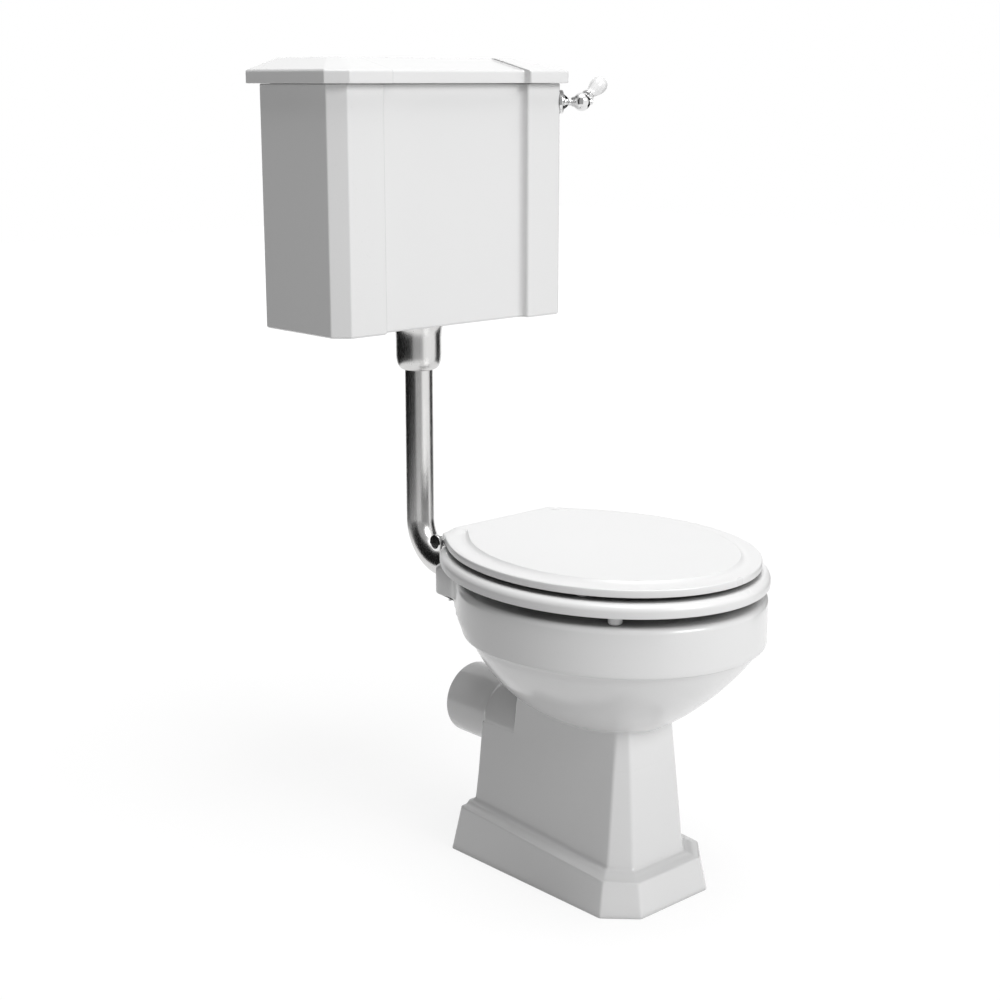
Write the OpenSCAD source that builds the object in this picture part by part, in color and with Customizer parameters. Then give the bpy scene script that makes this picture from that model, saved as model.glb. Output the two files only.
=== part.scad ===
/* [Pan rim and bowl] */
// Height of the rim above the floor
rim_top = 408; // [390:1:430]
// Half width of the rim at its widest line
rim_half = 190; // [170:1:200]
// Reach of the rim in front of the widest line
rim_front = 222; // [200:1:240]
// Reach of the curve behind the widest line
rim_back = 190; // [183:1:205]
// Place of the widest line, front to back
widest_y = -30; // [-45:1:-15]
// Height of the plain band under the rim
band_h = 63; // [50:1:75]
// Rounding of the rim's outer top edge
rim_round = 8; // [4:1:12]
// Drop of the bowl below the band
bowl_drop = 140; // [120:1:150]
// Wall of the bowl
bowl_wall = 13; // [10:1:16]
// Width of the flat rim top from the outer edge to the opening
rim_flat = 50; // [44:1:60]
// Thickness of the lip that hangs inside the rim
lip_wall = 9; // [7:1:12]
// Depth of the lip below the rim top
lip_drop = 44; // [36:1:52]

/* [Rear deck] */
// Half width of the deck at its rear corners
deck_half = 110.5; // [100:0.5:122]
// Rear edge of the deck, behind the foot's centre
deck_back = 190; // [180:1:205]
// Thickness of the deck behind the bowl
deck_t = 41; // [32:1:50]
// Corner radius of the deck in plan
deck_corner = 20; // [10:1:28]
// Rear end of the lower part of the band
band_end = 142; // [135:1:155]

/* [Pedestal and foot] */
// Half width of the foot on the floor
foot_half = 100.7; // [90:0.1:110]
// Half length of the foot on the floor
foot_len = 163.3; // [158:0.1:175]
// Corner cut of the foot's front corners
foot_cut = 38; // [25:1:45]
// Height of the foot's front edge
foot_front_h = 45; // [38:1:55]
// Height of the foot's rear edge
foot_back_h = 64; // [56:1:70]
// Lean of the foot's sides from floor to top
foot_lean = 9; // [5:1:12]
// Half width of the pedestal above the foot
ped_half = 72; // [66:1:80]
// Front of the pedestal above the foot
ped_front = -134; // [-142:1:-128]
// Half width of the pedestal under the bowl
neck_half = 55; // [52:1:62]
// Front of the pedestal under the bowl
neck_front = -118; // [-126:1:-112]
// Rear face of the pedestal
ped_back = 147; // [143:1:150]
// Wall of the hollow pedestal
ped_wall = 12; // [10:1:15]
// Bore of the two floor fixing holes
fix_d = 9; // [6:0.5:12]
// Distance between the two floor fixing holes
fix_gap = 84; // [72:1:100]
// Distance of the floor fixing holes in front of the pedestal's rear face
fix_in = 26; // [20:1:32]
// Thickness of the sill that the fixing holes pass through
sill_t = 12; // [10:1:16]

/* [Outlet and trap] */
// Height of the outlet centre
outlet_z = 182; // [175:1:190]
// Outside diameter of the outlet
outlet_d = 101.4; // [98:0.2:104]
// Wall of the outlet
outlet_wall = 7; // [6:1:9]
// End of the outlet, behind the foot's centre
outlet_end = 229; // [215:1:250]
// Bore of the trap
trap_d = 78; // [70:1:82]
// Height of the trap's lowest centre point
trap_low = 88; // [85:1:96]

/* [Flush pipe] */
// Outside diameter of the flush pipe
pipe_d = 40; // [36:1:44]
// Wall of the flush pipe
pipe_wall = 1.5; // [1:0.1:2.5]
// Bend radius of the flush pipe on its centre line
bend_r = 58.5; // [52:0.5:64]
// Height of the pan inlet's centre
inlet_z = 367; // [362:1:372]
// Distance of the flush pipe's centre in front of the cistern's middle
pipe_ahead = 2.95; // [0:0.05:6]
// Outside diameter of the pan's inlet horn
horn_d = 62; // [58:1:66]
// Bore of the pan's inlet horn
horn_bore = 50; // [48:1:53]
// End of the inlet horn, behind the foot's centre
horn_end = 226; // [215:1:235]

/* [Cistern] */
// Face of the wall behind the object
wall_y = 438; // [430:1:450]
// Half width of the cistern body
tank_half = 207; // [195:1:215]
// Depth of the cistern body
tank_depth = 185.3; // [180:0.1:195]
// Underside of the cistern above the floor
tank_low = 712; // [700:1:780]
// Height of the cistern body
tank_h = 324; // [322:1:350]
// Wall of the cistern
tank_wall = 10; // [8:1:12]
// Floor of the cistern
tank_floor = 12; // [10:1:15]
// Front corner cut of the cistern
tank_cut = 19.5; // [17:0.5:24]
// Rear corner cut of the cistern
tank_rear_cut = 22; // [15:1:30]
// Half width of the recessed front panel
panel_half = 127; // [110:1:140]
// Depth of the recessed front panel
panel_d = 13.5; // [8:0.5:16]
// Bore of the wall fixing holes
wall_fix_d = 8; // [6:0.5:10]
// Distance between the wall fixing holes
wall_fix_x = 300; // [260:1:320]

/* [Cistern lid] */
// Overhang of the lid at the sides
lid_over = 8.6; // [6:0.2:12]
// Overhang of the lid at the front
lid_over_front = 12.2; // [10:0.2:14]
// Height of the lid's upright edge
lid_edge = 17.5; // [14:0.5:22]
// Rise of the sloping top above the edge
lid_rise = 16.5; // [12:0.5:20]
// Width of the side slope
slope_side = 52; // [40:1:60]
// Width of the front slope
slope_front = 70; // [55:1:80]
// Depth of the locating rim inside the body
lid_rim = 9; // [6:1:10]

/* [Lever] */
// Distance of the lever below the cistern's top edge
lever_down = 25.3; // [23:0.1:29]
// Diameter of the lever's spindle
spindle_d = 8; // [6:0.5:9]
// Diameter of the lever's wall flange
flange_d = 33.6; // [28:0.2:36]
// Distance of the ball from the cistern's face
ball_out = 31; // [28:1:36]
// Diameter of the ball
ball_d = 26; // [22:1:30]
// Rise of the handle above the horizontal
handle_rise = 33.6; // [20:0.2:40]
// Length of the handle from the ball's centre
handle_len = 53; // [48:1:60]
// Largest diameter of the porcelain handle
handle_d = 24.4; // [20:0.2:28]
// Distance from the spindle to the lift hook
hook_reach = 36.5; // [34:0.5:38]

/* [Cistern fittings] */
// Outside diameter of the siphon's downleg
downleg_d = 44; // [42:0.5:46]
// Diameter of the siphon's pump chamber
chamber_d = 76; // [70:1:78]
// Wall of the siphon's plastic parts
siphon_wall = 3; // [2:0.5:4]
// Length of the siphon's tail under the cistern
tail_len = 44; // [40:1:50]
// Diameter of the float
float_d = 92; // [80:1:94]
// Length of the float arm from its pivot
float_reach = 157; // [140:1:162]
// Distance of the fill valve to the right of the centre
valve_x = 42; // [38:1:46]
// Distance of the fill valve behind the flush pipe's centre
valve_behind = 45.6; // [41.6:0.4:49.6]
// Thread diameter of the water inlet
inlet_d = 21; // [18:0.5:22]

/* [Seat ring] */
// Underside of the seat ring above the rim
ring_gap = 13; // [11:0.5:16]
// Thickness of the seat ring
ring_t = 17; // [14:0.5:20]
// Overhang of the ring beyond the rim
ring_over = 2; // [0:0.5:4]
// Half width of the hole in the seat ring
ring_hole_half = 116; // [105:1:122]
// Reach of the hole in front of the widest line
ring_hole_front = 140; // [125:1:150]
// Reach of the hole behind the widest line
ring_hole_back = 146; // [130:1:152]
// Extra reach of the seat's curve behind the pan's
seat_back = 43; // [32:1:48]
// Half width of the ring at its rear edge
ring_rear_half = 98; // [94:1:104]
// Rear edge of the ring
ring_rear = 164; // [160:1:165]
// Diameter of the ring's buffers
buffer_d = 17.5; // [14:0.5:20]

/* [Seat lid] */
// Space between the ring and the lid
seat_lid_gap = 6; // [5:0.5:8]
// Thickness of the lid's edge
seat_lid_t = 10; // [8:0.5:13]
// Inset of the lid from the ring's outer edge
seat_lid_in = 11; // [8:0.5:14]
// Rise of the flat centre panel above the lid's edge
panel_rise = 4; // [2:0.5:6]
// Width of the border round the centre panel
border_w = 27; // [20:1:30]
// Rear edge of the lid
seat_lid_rear = 167; // [165:0.5:168]

/* [Seat hinge] */
// Hinge axis behind the foot's centre
hinge_y = 174; // [173:0.5:177]
// Hinge axis above the rim
hinge_up = 32; // [31:0.5:33]
// Diameter of the hinge bar
bar_d = 9; // [7:0.5:10]
// Diameter of the hinge knuckles
knuckle_d = 14.6; // [13:0.2:15]
// Distance between the two hinge posts
post_gap = 155; // [150:1:160]
// Diameter of the hinge posts
post_d = 16; // [13:0.5:17]
// Diameter of the chrome end caps
cap_d = 22.5; // [18:0.5:24]
// Bore of the deck's hinge holes
hinge_hole_d = 15; // [12:0.5:16]

/* [Hidden] */
$fn = 96;

// Shared clearances
fit = 0.06;
gap = 0.3;
eps = 0.02;
s45 = sqrt(0.5);

// Counts of points in each half outline
n_front = 13;
n_side = 8;
n_corner = 4;

// Derived heights
band_low = rim_top - band_h;
neck_z = band_low - bowl_drop;
ring_low = rim_top + ring_gap;
ring_top = ring_low + ring_t;
seat_lid_low = ring_top + seat_lid_gap;
seat_lid_edge_z = seat_lid_low + seat_lid_t;
hinge_z = rim_top + hinge_up;
deck_low = rim_top - deck_t;
pipe_y = wall_y - tank_depth / 2 - pipe_ahead;
pipe_r = pipe_d / 2;
tank_front = wall_y - tank_depth;
tank_top = tank_low + tank_h;
tank_in = tank_low + tank_floor;

// Width of the seat family's outline at a place behind the widest line
// o = [half width, front reach, back reach, rear half width, rear edge, corner radius]
function ease(o, y) = 1 - (y - widest_y) / (o[4] - widest_y);
function blend6(a, b) = pow(pow(a, 6) + pow(b, 6), 1 / 6);
function bulge(o, y) = o[0] * sqrt(max(0, 1 - pow((y - widest_y) / o[2], 2)));
function side_x(o, y) = blend6(bulge(o, y), o[3]) / (1 + (blend6(o[0], o[3]) / o[0] - 1) * ease(o, y));
// Right half of an outline with a straight rear edge, from the front tip to the rear centre
function front_half(o) = [for (i = [0:n_front])
    [o[0] * sin(90 * i / n_front), widest_y - o[1] * cos(90 * i / n_front)]];
function rear_side(o) = [for (i = [1:n_side])
    let (y = widest_y + (o[4] - o[5] - widest_y) * i / n_side) [side_x(o, y), y]];
function rear_corner(o) = [for (i = [1:n_corner])
    let (a = 90 * i / n_corner, x = side_x(o, o[4] - o[5]))
    [x - o[5] * (1 - cos(a)), o[4] - o[5] * (1 - sin(a))]];
function half_plan(o) = concat(front_half(o), rear_side(o), rear_corner(o), [[0, o[4]]]);
// Right half of a closed egg: w = half width, f = front, b = rear
function half_egg(w, f, b, y0) = concat(
    [for (i = [0:n_front]) [w * sin(90 * i / n_front), y0 - (y0 - f) * cos(90 * i / n_front)]],
    [for (i = [1:n_side + n_corner + 1])
        let (a = 90 * i / (n_side + n_corner + 1)) [w * cos(a), y0 + (b - y0) * sin(a)]]);
// Both halves at height z
function both(h, z) = concat([for (p = h) [p[0], p[1], z]],
    [for (i = [len(h) - 2:-1:1]) [-h[i][0], h[i][1], z]]);
// A rim outline drawn in by an inset
function rim_plan(inset, rear, rear_half, corner) =
    [rim_half - inset, rim_front - inset, rim_back - inset, rear_half - inset, rear - inset,
     max(2, corner - inset)];

// Solid between rings of equal count, listed from the bottom up
module loft(rings) {
    n = len(rings[0]);
    m = len(rings);
    sides = [for (k = [0:m - 2], i = [0:n - 1]) let (j = (i + 1) % n)
        each [[k * n + i, (k + 1) * n + i, (k + 1) * n + j], [k * n + i, (k + 1) * n + j, k * n + j]]];
    low = [for (i = [0:n - 1]) i];
    high = [for (i = [n - 1:-1:0]) (m - 1) * n + i];
    polyhedron([for (r = rings) each r], concat([low], sides, [high]), convexity = 6);
}

// Closed ring of rings, for a body with a hole through it
module loft_loop(rings) {
    n = len(rings[0]);
    m = len(rings);
    polyhedron([for (r = rings) each r],
        [for (k = [0:m - 1], i = [0:n - 1]) let (j = (i + 1) % n, q = (k + 1) % m)
            each [[k * n + i, q * n + i, q * n + j], [k * n + i, q * n + j, k * n + j]]], convexity = 6);
}

// Rod along the line a-b of the middle plane, carried past both points by a share of its diameter
module leg(a, b, d) {
    past = 0.34 * d;
    translate([0, a[0], a[1]])
        rotate([-atan2(b[0] - a[0], b[1] - a[1]), 0, 0])
            translate([0, 0, -past])
                cylinder(h = norm(b - a) + 2 * past, d = d);
}

/* Pan */
// Bowl stations: [share of the drop, half width, front, rear] as shares of the band's sizes
bowl_shape = [[0.933, 0.150, 0.235, 0.738], [0.893, 0.254, 0.327, 0.774], [0.857, 0.313, 0.378, 0.792],
              [0.807, 0.382, 0.440, 0.811], [0.714, 0.485, 0.532, 0.842], [0.629, 0.567, 0.606, 0.867],
              [0.536, 0.645, 0.676, 0.892], [0.443, 0.715, 0.741, 0.914], [0.357, 0.774, 0.795, 0.933],
              [0.264, 0.832, 0.849, 0.954], [0.179, 0.880, 0.895, 0.971], [0.093, 0.923, 0.937, 0.978],
              [0, 0.958, 0.972, 0.980]];
// Inner bowl stations from the sump up, in the same shares, before the wall is taken off
sump_shape = [[1.22, 0.248, 0.262, 0.185], [1, 0.285, 0.335, 0.275], [0.86, 0.295, 0.365, 0.350],
              [0.78, 0.335, 0.410, 0.420], [0.68, 0.468, 0.520, 0.500], [0.50, 0.634, 0.662, 0.655],
              [0.32, 0.760, 0.781, 0.790], [0.14, 0.868, 0.883, 0.885], [0, 0.953, 0.970, 0.938]];

// Everything is laid out from the foot's centre, then moved so that the origin lies
// between the two floor fixing holes
fix_y = ped_back - fix_in;
module from_fixings() {
    translate([0, -fix_y, 0])
        children();
}

function bowl_half(s, wall) = half_egg(s[1] * rim_half - wall, widest_y - s[2] * rim_front + wall,
    widest_y + s[3] * (band_end - widest_y - 4) - wall, widest_y + 15 * s[0]);

module pan_outer() {
    band = rim_plan(0, band_end, deck_half - 8, 6);
    band_in = rim_plan(4.5, band_end, deck_half - 8, 6);
    deck = rim_plan(0, deck_back, deck_half, deck_corner);
    deck_mid = rim_plan(rim_round * 0.3, deck_back, deck_half, deck_corner);
    deck_top = rim_plan(rim_round, deck_back, deck_half, deck_corner);
    loft(concat(
        [for (s = bowl_shape) both(bowl_half(s, 0), band_low - s[0] * bowl_drop)],
        [both(half_plan(band_in), band_low), both(half_plan(band), band_low + 5),
         both(half_plan(band), deck_low - eps), both(half_plan(deck), deck_low),
         both(half_plan(deck), rim_top - rim_round),
         both(half_plan(deck_mid), rim_top - rim_round * 0.3),
         both(half_plan(deck_top), rim_top)]));
}

// Space inside the bowl: sump, flushing channel behind the lip, and the opening
module pan_inner() {
    wide = rim_half - bowl_wall;
    back = band_end - bowl_wall;
    hole = rim_half - rim_flat;
    hole_front = widest_y - rim_front + rim_flat;
    hole_back = band_end - rim_flat + 8;
    lip = lip_wall;
    y0 = widest_y;
    loft(concat(
        [for (s = sump_shape) both(bowl_half(s, bowl_wall), band_low - s[0] * bowl_drop)],
        [both(half_egg(wide, y0 - rim_front + bowl_wall, back, y0), band_low + 18),
         both(half_egg(wide, y0 - rim_front + bowl_wall, back, y0), rim_top - 12),
         both(half_egg(hole + lip, hole_front - lip, hole_back + lip, y0), rim_top - 12),
         both(half_egg(hole + lip, hole_front - lip, hole_back + lip, y0), rim_top - lip_drop + 4),
         both(half_egg(hole + lip / 2, hole_front - lip / 2, hole_back + lip / 2, y0), rim_top - lip_drop),
         both(half_egg(hole, hole_front, hole_back, y0), rim_top - lip_drop + 4),
         both(half_egg(hole, hole_front, hole_back, y0), rim_top - 7),
         both(half_egg(hole + 2, hole_front - 2, hole_back + 2, y0), rim_top - 2),
         both(half_egg(hole + 7, hole_front - 7, hole_back + 7, y0), rim_top + eps)]));
}

// Block with two cut front corners
function cut_block(w, f, b, c, z0, z1) = [[-w, b, z1], [-w, f + c, z0 + (z1 - z0) * c / (b - f)],
    [-w + c, f, z0], [w - c, f, z0], [w, f + c, z0 + (z1 - z0) * c / (b - f)], [w, b, z1]];

module foot() {
    k = foot_lean;
    loft([cut_block(foot_half, -foot_len, foot_len, foot_cut, 0, 0),
        cut_block(foot_half - k, -foot_len + k, foot_len - k, foot_cut - 0.6 * k, foot_front_h - 3, foot_back_h - 3),
        cut_block(foot_half - k - 3, -foot_len + k + 3, foot_len - k - 3, foot_cut - 0.6 * k - 2,
            foot_front_h, foot_back_h)]);
}

module pedestal(wall, low, high) {
    up = (high - foot_front_h) / (neck_z - foot_front_h);
    down = (low - foot_front_h) / (neck_z - foot_front_h);
    function w(t) = ped_half + (neck_half - ped_half) * t - wall;
    function f(t) = ped_front + (neck_front - ped_front) * t + wall;
    function c(t) = 24 - 10 * t;
    loft([cut_block(w(down), f(down), ped_back - wall, c(down), low, low),
        cut_block(w(up), f(up), ped_back - wall, c(up), high, high)]);
}

// Coved step where the pedestal stands on the foot
module foot_cove() {
    step = 7;
    z0 = foot_front_h - 4;
    z1 = foot_back_h - 4;
    loft([cut_block(ped_half + 2 * step, ped_front - 2 * step, ped_back + 3, 26, z0, z1),
        cut_block(ped_half + 2 * step, ped_front - 2 * step, ped_back + 3, 26, z0 + 5, z1 + 4.5),
        cut_block(ped_half + 0.7 * step, ped_front - 0.7 * step, ped_back + 2, 25, z0 + 8, z1 + 7),
        cut_block(ped_half + 0.1 * step, ped_front - 0.1 * step, ped_back + 1, 24, z0 + 17, z1 + 12)]);
}

// Centre line of the trap in the middle plane: down, back along the bottom, and up to the outlet
trap_out = trap_d + 20;
trap_bends = [[-40, neck_z + 6], [0, trap_low], [52, trap_low - 2], [100, outlet_z - 14]];

trap_more = [0, 2, 0];

module trap_path(d) {
    for (i = [0:2])
        leg(trap_bends[i], trap_bends[i + 1], d + trap_more[i]);
}

module outlet(d, from, to) {
    translate([0, from, outlet_z])
        rotate([-90, 0, 0])
            cylinder(h = to - from, d = d);
}

// Rear shoulder of the pedestal, rounded over towards the outlet
shoulder_y = 85;
shoulder_r = ped_half + (neck_half - ped_half) * (outlet_z - foot_front_h) / (neck_z - foot_front_h);
shoulder_z = outlet_z + outlet_d / 2 + 0.8 - shoulder_r;
module shoulder_cut() {
    difference() {
        translate([-ped_half, shoulder_y, shoulder_z])
            cube([2 * ped_half, ped_back - shoulder_y + 5, 100]);
        translate([0, shoulder_y - 1, shoulder_z])
            rotate([-90, 0, 0])
                cylinder(h = ped_back - shoulder_y + 7, r = shoulder_r);
    }
}

module pan() {
    color("whitesmoke") from_fixings()
        difference() {
            union() {
                difference() {
                    union() {
                        foot();
                        foot_cove();
                        difference() {
                            pedestal(0, foot_front_h - 4, neck_z + 26);
                            shoulder_cut();
                        }
                        pan_outer();
                    }
                    pedestal(ped_wall, -1, neck_z - 40);
                    translate([-ped_half + ped_wall + 4, ped_back - 40, -1])
                        cube([2 * (ped_half - ped_wall - 4), 60, trap_low + 16]);
                }
                trap_path(trap_out);
                outlet(trap_out, trap_bends[3][0] - 10, ped_back + 2);
                outlet(outlet_d, ped_back, outlet_end);
                translate([-ped_half, fix_y - 14, 0])
                    cube([2 * ped_half, 28, sill_t]);
                translate([0, band_end - 40, inlet_z])
                    rotate([-90, 0, 0])
                        cylinder(h = horn_end - band_end + 40, d = horn_d);
            }
            pan_inner();
            trap_path(trap_d);
            outlet(outlet_d - 2 * outlet_wall, trap_bends[3][0], outlet_end + 1);
            translate([0, band_end - bowl_wall - 12, inlet_z])
                rotate([-90, 0, 0])
                    cylinder(h = horn_end, d = horn_bore);
            for (side = [-1, 1]) {
                translate([side * fix_gap / 2, fix_y, -1])
                    cylinder(h = sill_t + 2, d = fix_d);
                translate([side * post_gap / 2, hinge_y, deck_low - 1])
                    cylinder(h = deck_t + 2, d = hinge_hole_d);
            }
        }
}

/* Flush pipe and its fastenings */
bend_z = inlet_z + bend_r;
pipe_top = tank_low - tail_len;
pipe_in = deck_back - 14;

module pipe_shape(d) {
    translate([0, pipe_y, bend_z])
        cylinder(h = pipe_top - bend_z, d = d);
    translate([0, pipe_y - bend_r, bend_z])
        rotate([0, 90, 0])
            rotate_extrude(angle = 90)
                translate([bend_r, 0])
                    circle(d = d);
    translate([0, pipe_in, inlet_z])
        rotate([-90, 0, 0])
            cylinder(h = pipe_y - bend_r - pipe_in, d = d);
}

module flush_pipe() {
    color("silver") from_fixings() {
        difference() {
            pipe_shape(pipe_d);
            pipe_shape(pipe_d - 2 * pipe_wall);
            translate([0, pipe_in - 1, inlet_z])
                rotate([-90, 0, 0])
                    cylinder(h = 4, d = pipe_d - 2 * pipe_wall);
            translate([0, pipe_y, pipe_top - 2])
                cylinder(h = 4, d = pipe_d - 2 * pipe_wall);
        }
        translate([0, pipe_y, pipe_top - 4])
            difference() {
                cylinder(h = 4, d = tail_d);
                translate([0, 0, -1])
                    cylinder(h = 6, d = pipe_d - eps);
            }
    }
}

module flush_cone() {
    color("dimgray") from_fixings()
        translate([0, horn_end - 30, inlet_z])
            rotate([-90, 0, 0])
                rotate_extrude()
                    polygon([[pipe_r + eps, 0], [horn_bore / 2 - 1.5, 0], [horn_bore / 2 - eps, 4],
                             [horn_bore / 2 - eps, 30], [horn_d / 2, 30 + gap], [horn_d / 2, 34],
                             [pipe_r + 4, 40], [pipe_r + eps, 40]]);
}

tail_d = downleg_d + 2;
cover_r = 37;
waist_r = 32.3;
module pipe_cover() {
    color("silver") from_fixings()
        translate([0, pipe_y, tank_low - 70])
            rotate_extrude()
                polygon([[pipe_r + gap, 0], [pipe_r + 3, 0.4], [pipe_r + 7, 3], [waist_r - 2.4, 9],
                         [waist_r - 0.6, 15], [waist_r, 22], [waist_r, 44], [waist_r + 0.8, 54],
                         [cover_r - 2, 64], [cover_r, 69.4], [cover_r, 70], [cover_r - 1.5, 70],
                         [cover_r - 3.4, 64], [waist_r - 0.6, 54], [waist_r - 1.4, 44],
                         [waist_r - 1.4, 22], [waist_r - 2, 15.4], [waist_r - 3.8, 10], [pipe_r + 6, 4.4],
                         [pipe_r + 2.6, 1.8], [pipe_r + gap, 1.6]]);
}

module pipe_nut() {
    color("gainsboro") from_fixings()
        translate([0, pipe_y, pipe_top - 10])
            difference() {
                cylinder(h = 26, d = tail_d + 10);
                translate([0, 0, 6])
                    cylinder(h = 21, d = tail_d + 2 * eps);
                translate([0, 0, -1])
                    cylinder(h = 8, d = pipe_d + 2 * gap);
            }
}

module siphon_backnut() {
    color("gainsboro") from_fixings()
        translate([0, pipe_y, tank_low - 11])
            difference() {
                cylinder(h = 11, d = 2 * waist_r - 7, $fn = 6);
                translate([0, 0, -1])
                    cylinder(h = 13, d = tail_d + 2 * eps);
            }
}

module siphon_washer() {
    color("dimgray") from_fixings()
        translate([0, pipe_y, tank_in])
            difference() {
                cylinder(h = 3, d = 66);
                translate([0, 0, -1])
                    cylinder(h = 5, d = tail_d + 2 * eps);
            }
}

/* Cistern */
// Plan of the cistern: cut corners and a recessed front panel
function tank_plan(w, f, b, cf, cb, ph, pd) = [[-w, b - cb], [-w, f + cf], [-w + cf, f], [-ph, f],
    [-ph, f + pd], [ph, f + pd], [ph, f], [w - cf, f], [w, f + cf], [w, b - cb], [w - cb, b], [-w + cb, b]];
function inner_cut(c, t) = c - t * (2 - sqrt(2));
hole_z = tank_top - 62;

module tank_block(inset, low, high) {
    translate([0, 0, low])
        linear_extrude(height = high - low)
            polygon(tank_plan(tank_half - inset, tank_front + inset, wall_y - inset,
                inner_cut(tank_cut, inset), inner_cut(tank_rear_cut, inset), panel_half + inset, panel_d));
}

lever_x = tank_half - tank_cut / 2;
lever_y = tank_front + tank_cut / 2;
lever_z = tank_top - lever_down;
bush_d = spindle_d + 5;

// Lever frame: local Z points out of the corner face, local Y along it, to the right and rear
module at_lever() {
    translate([lever_x, lever_y, lever_z])
        rotate([0, 90, -45])
            children();
}

valve_y = pipe_y + valve_behind;
module tank_body() {
    color("whitesmoke") from_fixings()
        difference() {
            tank_block(0, tank_low, tank_top);
            tank_block(tank_wall, tank_in, tank_top + 1);
            translate([0, pipe_y, tank_low - 1])
                cylinder(h = tank_floor + 2, d = tail_d + 2);
            translate([valve_x, valve_y, tank_low - 1])
                cylinder(h = tank_floor + 2, d = shank_d + 1.5);
            at_lever()
                translate([0, 0, -tank_wall - 4])
                    cylinder(h = tank_wall + 6, d = bush_d + 1);
            for (side = [-1, 1])
                translate([side * wall_fix_x / 2, wall_y - tank_wall - 1, hole_z])
                    rotate([-90, 0, 0])
                        cylinder(h = tank_wall + 2, d = wall_fix_d);
        }
}

// Everything above a plane that rises by the lid's rise over run, inwards from the point x, y
module slope_cut(x, y, turn, run, width) {
    translate([x, y, tank_top + lid_edge])
        rotate([0, -atan2(lid_rise, run), turn])
            translate([-60, -width / 2, 0])
                cube([3 * run + 60, width, 60]);
}

module tank_lid() {
    w = tank_half + lid_over;
    f = tank_front - lid_over_front;
    cut = tank_cut + 3.8;
    ph = panel_half - 6.3;
    rim_in = tank_wall + 3;
    far = 3 * tank_half;
    corner_run = (slope_side + slope_front - 0.4 * cut) * s45;
    color("whitesmoke") from_fixings()
        difference() {
            union() {
                difference() {
                    translate([0, 0, tank_top])
                        linear_extrude(height = lid_edge + lid_rise)
                            polygon(tank_plan(w, f, wall_y, cut, 3, ph, panel_d));
                    slope_cut(0, f, 90, slope_front, far);
                    slope_cut(0, f + panel_d, 90, slope_front, 2 * ph);
                    for (side = [-1, 1]) {
                        slope_cut(side * w, tank_front, side > 0 ? 180 : 0, slope_side, far);
                        slope_cut(side * (w - cut / 2), f + cut / 2, side > 0 ? 135 : 45, corner_run, far);
                    }
                }
                tank_block(rim_in, tank_top - lid_rim, tank_top + 3);
            }
            tank_block(rim_in + 8, tank_top - lid_rim - 1, tank_top + lid_edge - 9);
            translate([0, 0, tank_top + 1])
                linear_extrude(height = lid_edge + 2)
                    polygon(tank_plan(w - slope_side - 12, f + slope_front + 4, wall_y - 36, 12, 12, ph - 10, panel_d));
        }
}

/* Lever */
module lever_flange() {
    color("silver") from_fixings()
        at_lever()
            rotate_extrude()
                polygon([[spindle_d / 2 + fit, -tank_wall - 12], [bush_d / 2, -tank_wall - 12], [bush_d / 2, 0],
                         [flange_d / 2, 0], [flange_d / 2, 4], [flange_d / 2 - 1, 5], [flange_d / 2 - 3, 5.4],
                         [flange_d / 2 - 7, 8], [flange_d / 2 - 9.4, 10.4], [spindle_d / 2 + 2.6, 12],
                         [spindle_d / 2 + fit, 12]]);
}

module lever_washer() {
    color("dimgray") from_fixings()
        at_lever()
            translate([0, 0, -tank_wall - 2])
                difference() {
                    cylinder(h = 2, d = bush_d + 5.5);
                    translate([0, 0, -1])
                        cylinder(h = 4, d = bush_d + 2 * eps);
                }
}

module lever_nut() {
    color("silver") from_fixings()
        at_lever()
            translate([0, 0, -tank_wall - 8])
                difference() {
                    cylinder(h = 6, d = bush_d + 6, $fn = 6);
                    translate([0, 0, -1])
                        cylinder(h = 8, d = bush_d + 2 * eps);
                }
}

spindle_in = (pipe_y - lever_y + hook_reach * s45) / s45;
chamber_x = lever_x - (spindle_in + hook_reach) * s45;
ball_r = ball_d / 2;
module lever_spindle() {
    color("silver") from_fixings()
        at_lever()
            rotate_extrude()
                polygon(concat([[0, -spindle_in - 6], [spindle_d / 2, -spindle_in - 6], [spindle_d / 2, 12 + gap],
                    [spindle_d / 2 + 1.8, 12 + gap], [spindle_d / 2 + 1.8, ball_out - ball_r - 2],
                    [spindle_d / 2 + 3.2, ball_out - ball_r + 1.4]],
                    [for (a = [38:8:158]) [ball_r * sin(a), ball_out - ball_r * cos(a)]],
                    [[4, ball_out + ball_r * 0.94], [4, ball_out + ball_r + 1.6], [2.6, ball_out + ball_r + 3],
                     [0, ball_out + ball_r + 3.2]]));
}

// Handle frame: local Z from the ball's centre along the handle
module at_handle() {
    translate([lever_x + ball_out * s45, lever_y - ball_out * s45, lever_z])
        rotate([0, 90 - handle_rise, 0])
            children();
}

module lever_collar() {
    color("silver") from_fixings()
        at_handle()
            difference() {
                rotate_extrude()
                    polygon([[0, ball_r - 2.4], [7.4, ball_r - 2.4], [9, ball_r - 1], [9.6, ball_r + 0.4], [8.8, ball_r + 1.6],
                             [8, ball_r + 2.2], [8.8, ball_r + 3], [8.2, ball_r + 4], [7.4, ball_r + 4.6], [0, ball_r + 4.6]]);
                sphere(d = ball_d + 2 * eps);
            }
}

handle_root = ball_r + 4.6;
module lever_handle() {
    l = handle_len - handle_root;
    r = handle_d / 2;
    color("white") from_fixings()
        at_handle()
            translate([0, 0, handle_root])
                rotate_extrude()
                    polygon([[0, 0], [0.62 * r, 0], [0.6 * r, 0.06 * l], [0.66 * r, 0.16 * l], [0.8 * r, 0.3 * l],
                             [0.93 * r, 0.44 * l], [r, 0.6 * l], [0.985 * r, 0.72 * l], [0.88 * r, 0.84 * l],
                             [0.68 * r, 0.93 * l], [0.4 * r, 0.985 * l], [0, l]]);
}

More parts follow.
